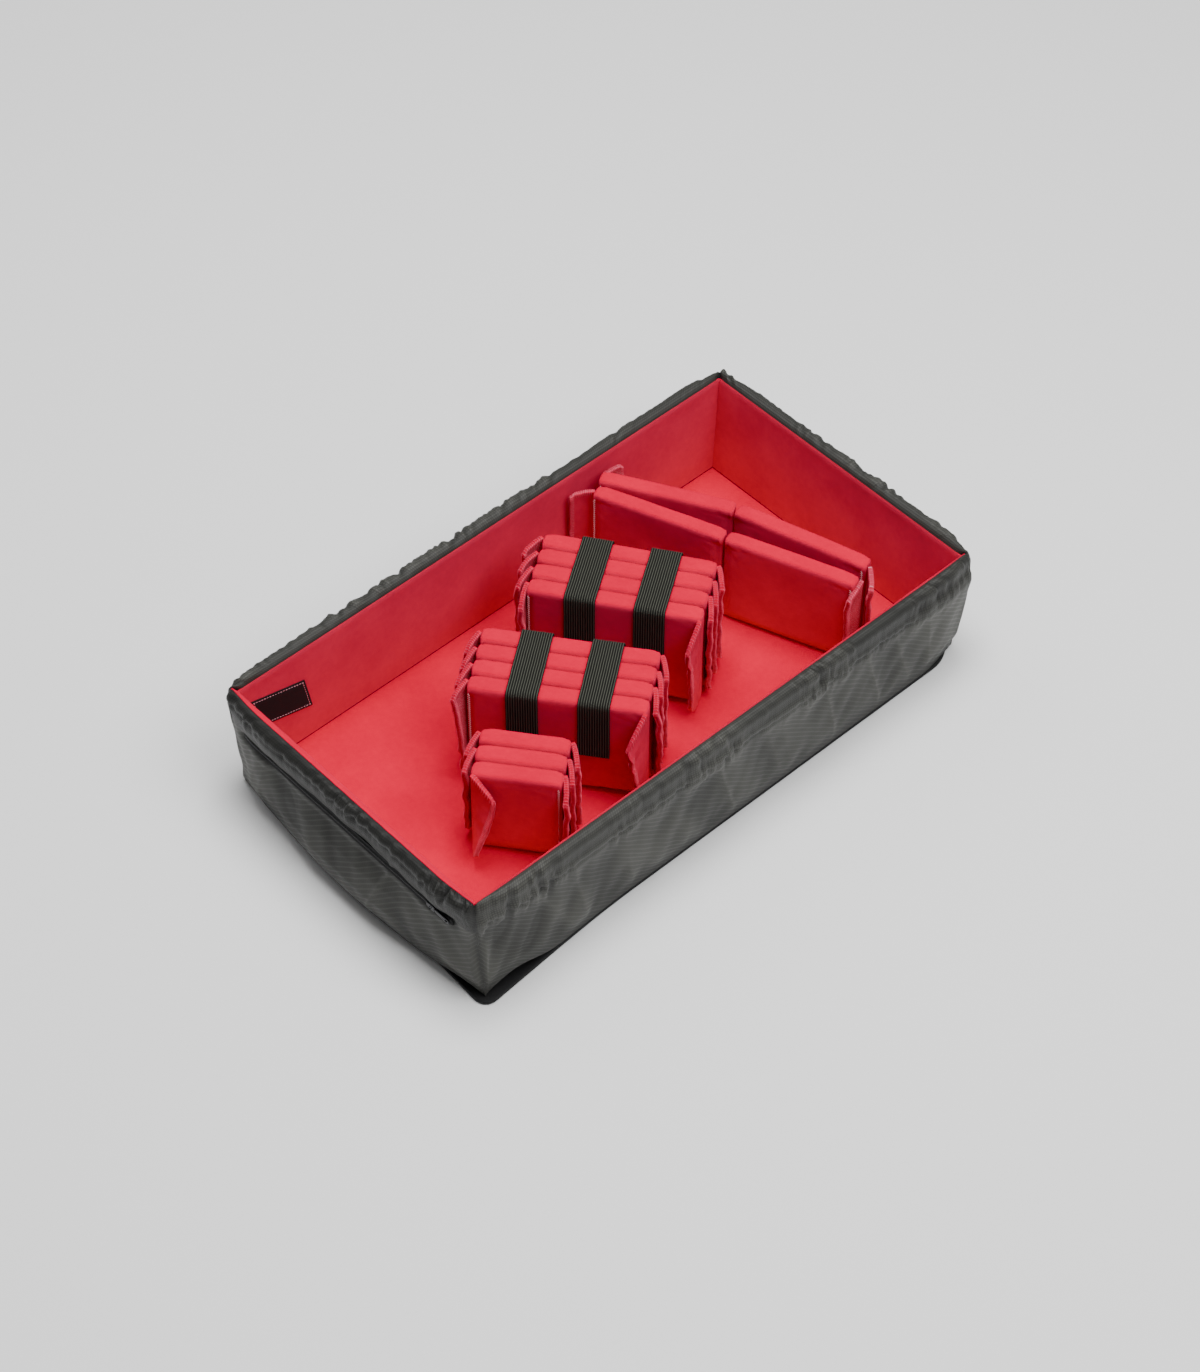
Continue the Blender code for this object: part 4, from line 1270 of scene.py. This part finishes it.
class CASE_OT_hook_flaps(bpy.types.Operator):
    """Cut each hook flap, fold it as it hangs and overlock its edges"""

    bl_idname = "case.hook_flaps"
    bl_label = "Hook flaps"

    def execute(self, context):
        flaps = context.scene.case_flaps
        loop = stitch_loop(flaps)
        bead = small_bead(1.9 * MM, 0.28 * MM)
        for node_name in sorted(frame["nodes"]):
            if node_name.endswith("_flap"):
                self.flap(node_name, flaps, loop, bead)
        return {"FINISHED"}

    def flap(self, node_name, flaps, loop, bead):
        piece, s_share, up = grid(node_name + "_cloth", 18, 60)
        points, front, s = flap_points(node_name, s_share, up, flaps)
        points[:, :2] += front * flaps.thickness / 2
        seed = sum(map(ord, node_name)) % 13
        shape_sheet(piece, points, table(points[:, 2], s, seed))
        # The hooks face the front on short dividers and the back on long ones
        piece.data.materials.clear()
        for key in ("red", "hook") if is_long(node_name) else ("hook", "red"):
            piece.data.materials.append(surface(key))
        face_towards(piece, (*front[0], 0))
        apply_modifier(
            piece, "SOLIDIFY", thickness=flaps.thickness, offset=-1, material_offset=1,
            material_offset_rim=1,
        )
        low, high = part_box(node_name)
        tall = high.z - low.z
        thicker = front * (flaps.hem / 2 * hem_profile(s_share, up, flaps, tall))[:, None]
        rolled = points_of(piece)
        rolled[:len(s), :2] += thicker
        rolled[len(s):, :2] -= thicker
        set_points(piece, rolled)
        bevelled(piece, 0.7 * MM, 3, 60)
        smooth(piece)
        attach(piece, BODY_OF[node_name])
        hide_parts(node_name)
        stitches = row_of(node_name + "_overlock", loop, edge_frames(node_name, flaps))
        settle(stitches, BODY_OF[node_name], "hem")
        panel = panel_of(node_name)
        seam = row_of(node_name + "_seam", bead, seam_frames(node_name, panel))
        settle(seam, BODY_OF[panel], "thread")


# Straps


def strap_path(half, low, top, radius):
    """Points of a band's outer line across a bundle, up one side and down the other."""
    up = [(-half, low + (top - radius - low) * n / 14) for n in range(14)]
    bend = [
        (-half + radius - radius * math.cos(a), top - radius + radius * math.sin(a))
        for a in np.linspace(0, math.pi / 2, 7)
    ]
    flat = [(y, top) for y in np.linspace(-half + radius, 0, 16)[1:]]
    left = up + bend + flat
    right = [(-y, z) for y, z in reversed(left[:-1])]
    return np.array(left + right)


class CASE_OT_straps(bpy.types.Operator):
    """Run the ribbed elastic straps over the bundles, with sewn lines near their ends"""

    bl_idname = "case.straps"
    bl_label = "Elastic straps"

    def execute(self, context):
        for label in ("far", "middle"):
            for side in ("left", "right"):
                self.strap(label, f"{label}_{side}_strap", context.scene.case_flaps)
        return {"FINISHED"}

    def strap(self, label, node_name, flaps):
        _, run, across, _, _ = pad_frame(f"{label}_divider_1")
        middle, (width, depth, tall), low = plan_frame(node_name, run, across)
        half, high = depth / 2, low + tall
        path = strap_path(half, low, high, 4.2 * MM)
        piece, share, up = grid(node_name + "_band", flaps.ribs * 6, 2 * len(path) - 2)
        lengths = np.linalg.norm(np.diff(path, axis=0), axis=1)
        steps = np.concatenate([[0], np.cumsum(lengths)])

        def place(distance):
            return table(*(np.interp(distance, steps, path[:, n]) for n in (0, 1)))

        q = up * steps[-1]
        across_at, height = place(q).T
        tangent = place(q + 0.5 * MM) - place(q - 0.5 * MM)
        tangent /= np.linalg.norm(tangent, axis=1)[:, None]
        ridge = 0.5 - 0.5 * np.cos(share * flaps.ribs * math.tau)
        edge = np.minimum(share, 1 - share) * width
        end = np.minimum(q, steps[-1] - q)
        # Ribs, two sewn lines at each end, and a dip where two dividers meet
        stand = 0.45 * MM * ridge * eased(edge, 0, 1 * MM) - 0.45 * MM
        stand = stand - 0.3 * MM * bell(end - 11 * MM, 0.8 * MM)
        stand = stand - 0.25 * MM * bell(end - 3 * MM, 0.7 * MM)
        top = eased(height, high - 8 * MM, high - 1 * MM)
        turns = (across_at + half) / (depth / 4)
        stand = stand - 0.35 * MM * top * (0.5 + 0.5 * np.cos(turns * math.tau))
        s = (share - 0.5) * (width - 0.6 * MM + 0.5 * MM * ripples(q, 0, 40, 3.0))
        y_at = across_at - tangent[:, 1] * stand
        plan = middle + np.outer(s, run) + np.outer(y_at, across)
        shape_sheet(piece, table(*plan.T, height + tangent[:, 0] * stand), table(s, q, ridge))
        face_towards(piece, (0, 0, 1), len(piece.data.polygons) // 2)
        make_solid(piece, flaps.strap_thickness - 0.6 * MM)
        settle(piece, BODY_OF[node_name], "elastic", [node_name])


# Zip and patch


def zip_line(y, stand):
    """Points along the zip on the left wall, at a distance out from its cloth."""
    height = ZIP_HEIGHT + zip_wobble(y)
    half_y = half_inside(ZIP_HEIGHT)[1] + WALL
    points = wall_points("left", y / half_y, WALL, height)
    points[:, 0] -= stand
    return points


TAPE_WIDTH = 10.6 * MM
TAPE_STAND = 0.6 * MM
COIL_STAND = 0.9 * MM
COIL_PITCH = 1.25 * MM


class CASE_OT_zip(bpy.types.Operator):
    """Sew in the zip: woven tape, coil, slider and pull"""

    bl_idname = "case.zip"
    bl_label = "Zip"

    def execute(self, context):
        self.tape()
        self.coil()
        self.slider()
        self.pull()
        return {"FINISHED"}

    def tape(self):
        piece, across, up = grid("zip_tape_cloth", 120, 6)
        y = -(2 * across - 1) * (ZIP_HALF - 0.5 * MM)
        points = zip_line(y, TAPE_STAND)
        rise = (up - 0.5) * TAPE_WIDTH
        points[:, 2] += rise
        points[:, 0] -= 0.25 * MM * bell(abs(rise), 0.9 * MM)
        shape_sheet(piece, points, table(y, rise, 0))
        make_solid(piece, 0.6 * MM)
        settle(piece, "tub", "tape", ["zip_tape"])

    def coil(self):
        """One coil turn modelled once from a torus and repeated down the zip."""
        turn = added(
            bpy.ops.mesh.primitive_torus_add, major_segments=9, minor_segments=5,
            major_radius=0.85 * MM, minor_radius=0.26 * MM, location=(0, 0, 0),
        )
        edited(turn, turned_about("X"), resized(0.45, 1, 1.15))
        y = np.arange(-ZIP_HALF + 2 * MM, ZIP_HALF - 2 * MM, COIL_PITCH)
        frames = [(at, np.identity(3)) for at in zip_line(y, COIL_STAND)]
        piece = row_of("zip_coil", shape_from(turn), frames)
        settle(piece, "tub", "coil")

    def slider(self):
        low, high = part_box("zip_slider")
        middle, size = (low + high) / 2, high - low
        piece = added(
            bpy.ops.mesh.primitive_cube_add, "zip_slider_body", size=1, location=(0, 0, 0)
        )
        cuts = (bpy.ops.mesh.subdivide, {"number_cuts": 3})
        edited(piece, resized(size.x * 0.62, size.y, size.z), cuts)
        points = points_of(piece)
        points[:, 2] *= 1 - 0.28 * eased(points[:, 1] / (size.y / 2), -0.2, 1.0)
        set_points(piece, points)
        apply_modifier(piece, "SUBSURF", levels=2, render_levels=2)
        bridge = added(
            bpy.ops.mesh.primitive_torus_add, major_segments=20, minor_segments=8,
            major_radius=1.7 * MM, minor_radius=0.42 * MM,
            location=(-size.x * 0.24, -0.4 * MM, 0), rotation=(math.pi / 2, math.pi / 2, 0),
        )
        bridge.scale = (1.0, 1.0, 0.55)
        active(bridge)
        bpy.ops.object.transform_apply(location=True, rotation=True, scale=True)
        piece.select_set(True)
        bpy.context.view_layer.objects.active = piece
        bpy.ops.object.join()
        place = np.array([middle.x + size.x * 0.1, middle.y, middle.z])
        set_points(piece, points_of(piece) + place)
        smooth(piece)
        settle(piece, BODY_OF["zip_slider"], "metal", ["zip_slider"])

    def pull(self):
        low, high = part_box("zip_pull")
        middle, size = (low + high) / 2, high - low
        lengthwise = (0, math.pi / 2, 0)
        piece = added(
            bpy.ops.mesh.primitive_cylinder_add, "zip_pull_tab", vertices=24,
            radius=size.z / 2, depth=size.x, location=(0, 0, 0), rotation=lengthwise,
        )
        bpy.ops.object.transform_apply(location=True, rotation=True, scale=True)
        points = points_of(piece)
        straight = size.y / 2 - size.z / 2
        points[:, 1] += np.where(points[:, 1] > 0, straight, -straight)
        points[:, 2] *= 1 - 0.3 * eased(points[:, 1], -size.y * 0.1, size.y / 2)
        set_points(piece, points)
        hole = added(
            bpy.ops.mesh.primitive_cylinder_add, vertices=16, radius=1.1 * MM,
            depth=3 * size.x, location=(0, -size.y * 0.3, 0), rotation=lengthwise,
        )
        apply_modifier(piece, "BOOLEAN", operation="DIFFERENCE", object=hole, solver="EXACT")
        bpy.data.objects.remove(hole)
        bevelled(piece, 0.25 * MM, 2, 50)
        set_points(piece, points_of(piece) + np.array(middle))
        smooth(piece)
        settle(piece, BODY_OF["zip_pull"], "metal", ["zip_pull"])


PATCH_SIZE = (52 * MM, 32 * MM)
PATCH_TILT = math.radians(-14)
STITCH_STAND = 0.35 * MM


class CASE_OT_patch(bpy.types.Operator):
    """Sew a bare cloth patch to the back wall, stitched round its edge"""

    bl_idname = "case.patch"
    bl_label = "Patch"

    def execute(self, context):
        points = points_of(frame["nodes"]["patch"])
        middle = (points.min(0) + points.max(0)) / 2
        lean = math.atan2(MOUTH_GAINS[1] / 2, TUB_HEIGHT)
        face = np.array([0, -math.cos(lean), math.sin(lean)])
        run, rise = (
            unit(way - face * (way @ face))
            for way in (
                np.array([math.cos(PATCH_TILT), 0, math.sin(PATCH_TILT)]),
                np.array([-0.15, 0.0, 1.0]),
            )
        )
        piece, across, up = grid("patch_cloth", 52, 32)
        half_x, half_z = ((side - 0.6 * MM) / 2 for side in PATCH_SIZE)
        x = (2 * across - 1) * half_x
        z = (2 * up - 1) * half_z
        edge = np.minimum(half_x - abs(x), half_z - abs(z))
        stand = 0.55 * MM - 0.45 * MM * bell(edge - 2.2 * MM, 0.8 * MM)
        stand = stand - 0.3 * MM * bell(edge, 0.8 * MM) + 0.15 * MM * ripples(x, z, 60, 5.0)
        world = middle + np.outer(x, run) + np.outer(z, rise) + np.outer(stand, face)
        shape_sheet(piece, world, table(x, z, 0))
        face_towards(piece, face)
        make_solid(piece, 0.9 * MM)
        settle(piece, "tub", "patch", ["patch"])
        stitches = self.border(middle + face * STITCH_STAND, run, rise, face)
        return {"FINISHED"}

    def border(self, middle, run, rise, face):
        """Running stitches round the patch."""
        half_x, half_z = 23.5 * MM, 13.5 * MM
        pitch = 2.6 * MM
        frames = []
        for sign in (-1, 1):
            for way, half, aside in (
                (run, half_x, rise * half_z * sign),
                (rise, half_z, run * half_x * sign),
            ):
                axes = np.array([way, np.cross(face, way), face])
                frames += [
                    (middle + way * at + aside, axes) for at in np.arange(-half, half, pitch)
                ]
        piece = row_of("patch_stitching", small_bead(1.9 * MM, 0.24 * MM), frames)
        return settle(piece, "tub", "thread")


class CASE_OT_hidden_parts(bpy.types.Operator):
    """Give the foam, which stays as it is, its material"""

    bl_idname = "case.hidden_parts"
    bl_label = "Foam"

    def execute(self, context):
        for name in ["floor_foam"] + [wall + "_wall_foam" for wall in WALL_NAMES]:
            solid = frame["nodes"][name]
            solid.data.materials.clear()
            solid.data.materials.append(surface("foam"))
        return {"FINISHED"}


# Place, size and power of each soft light
LIGHTS = {
    "top_light": ((0.15, 0.2, 2.4), 1.1, 62),
    "front_light": ((0.3, -1.15, 2.15), 1.4, 42),
    "back_light": ((-0.5, 1.9, 2.0), 1.6, 10),
}
# The photo's camera: its right, up and back directions, its place and its lens
CAMERA_AXES = (
    (0.73572, -0.67728, 0.00198), (0.50890, 0.55474, 0.65825), (-0.44692, -0.48328, 0.75280)
)
CAMERA_PLACE = (-1.14126, -1.22783, 1.94595)
CAMERA_LENS = 86.942
FLOOR_SIZE = 14


class CASE_OT_studio(bpy.types.Operator):
    """Set up the pale floor, the soft lights and the camera"""

    bl_idname = "case.studio"
    bl_label = "Studio"

    def execute(self, context):
        floor = added(
            bpy.ops.mesh.primitive_plane_add, "studio_floor", size=FLOOR_SIZE,
            location=(0, 0, -0.4 * MM),
        )
        floor.data.materials.append(floor_material(context.scene.case_colours.floor))
        for name, (place, size, power) in LIGHTS.items():
            bpy.ops.object.light_add(type="AREA", location=place)
            lamp = bpy.context.active_object
            lamp.name = name
            lamp.data.size = size
            lamp.data.energy = power
            lamp.rotation_euler = (-Vector(place)).to_track_quat("-Z", "Y").to_euler()
        self.world(context.scene)
        self.camera(context.scene)
        return {"FINISHED"}

    def world(self, scene):
        """White light that is stronger from the far end."""
        world = bpy.data.worlds.new("studio")
        world.use_nodes = True
        tree = world.node_tree
        way = along_axis(tree, node(tree, "ShaderNodeTexCoord").outputs["Generated"], "X")
        strength = spread(tree, way, -1.0, 0.6, 0.10, 0.32)
        feed(tree.nodes["Background"], {"Color": (1, 1, 1, 1), "Strength": strength})
        scene.world = world

    def camera(self, scene):
        lens = bpy.data.cameras.new("photo_camera")
        lens.sensor_width = 36
        lens.lens = CAMERA_LENS
        lens.clip_start = 0.05
        holder = bpy.data.objects.new("photo_camera", lens)
        holder.matrix_world = Matrix((*zip(*CAMERA_AXES, CAMERA_PLACE), (0, 0, 0, 1)))
        scene.collection.objects.link(holder)
        scene.camera = holder


class CASE_PT_panel(bpy.types.Panel):
    """Sidebar panel that lists the pieces"""

    bl_label = "Case divider"
    bl_idname = "CASE_PT_panel"
    bl_space_type = "VIEW_3D"
    bl_region_type = "UI"
    bl_category = "Case divider"

    def draw(self, context):
        for operator in OPERATORS:
            self.layout.operator(operator.bl_idname)
        for key in SETTINGS:
            settings = getattr(context.scene, key)
            for name in settings.__annotations__:
                self.layout.prop(settings, name)


SETTINGS = {
    "case_tub": TubSettings,
    "case_pads": PadSettings,
    "case_flaps": FlapSettings,
    "case_colours": ColourSettings,
}
OPERATORS = (
    CASE_OT_base,
    CASE_OT_outer_cover,
    CASE_OT_lining,
    CASE_OT_padded_dividers,
    CASE_OT_hook_flaps,
    CASE_OT_straps,
    CASE_OT_zip,
    CASE_OT_patch,
    CASE_OT_hidden_parts,
    CASE_OT_studio,
)


def register():
    for made in (*SETTINGS.values(), *OPERATORS, CASE_PT_panel):
        bpy.utils.register_class(made)
    for key, settings in SETTINGS.items():
        setattr(bpy.types.Scene, key, PointerProperty(type=settings))


def unregister():
    for key in SETTINGS:
        delattr(bpy.types.Scene, key)
    for made in (CASE_PT_panel, *reversed(OPERATORS), *SETTINGS.values()):
        bpy.utils.unregister_class(made)


def main():
    register()
    bpy.ops.case.base()
    bpy.ops.case.outer_cover()
    bpy.ops.case.lining()
    bpy.ops.case.padded_dividers()
    bpy.ops.case.hook_flaps()
    bpy.ops.case.straps()
    bpy.ops.case.zip()
    bpy.ops.case.patch()
    bpy.ops.case.hidden_parts()
    bpy.ops.case.studio()
    bpy.ops.object.select_all(action="DESELECT")


if __name__ == "__main__":
    main()
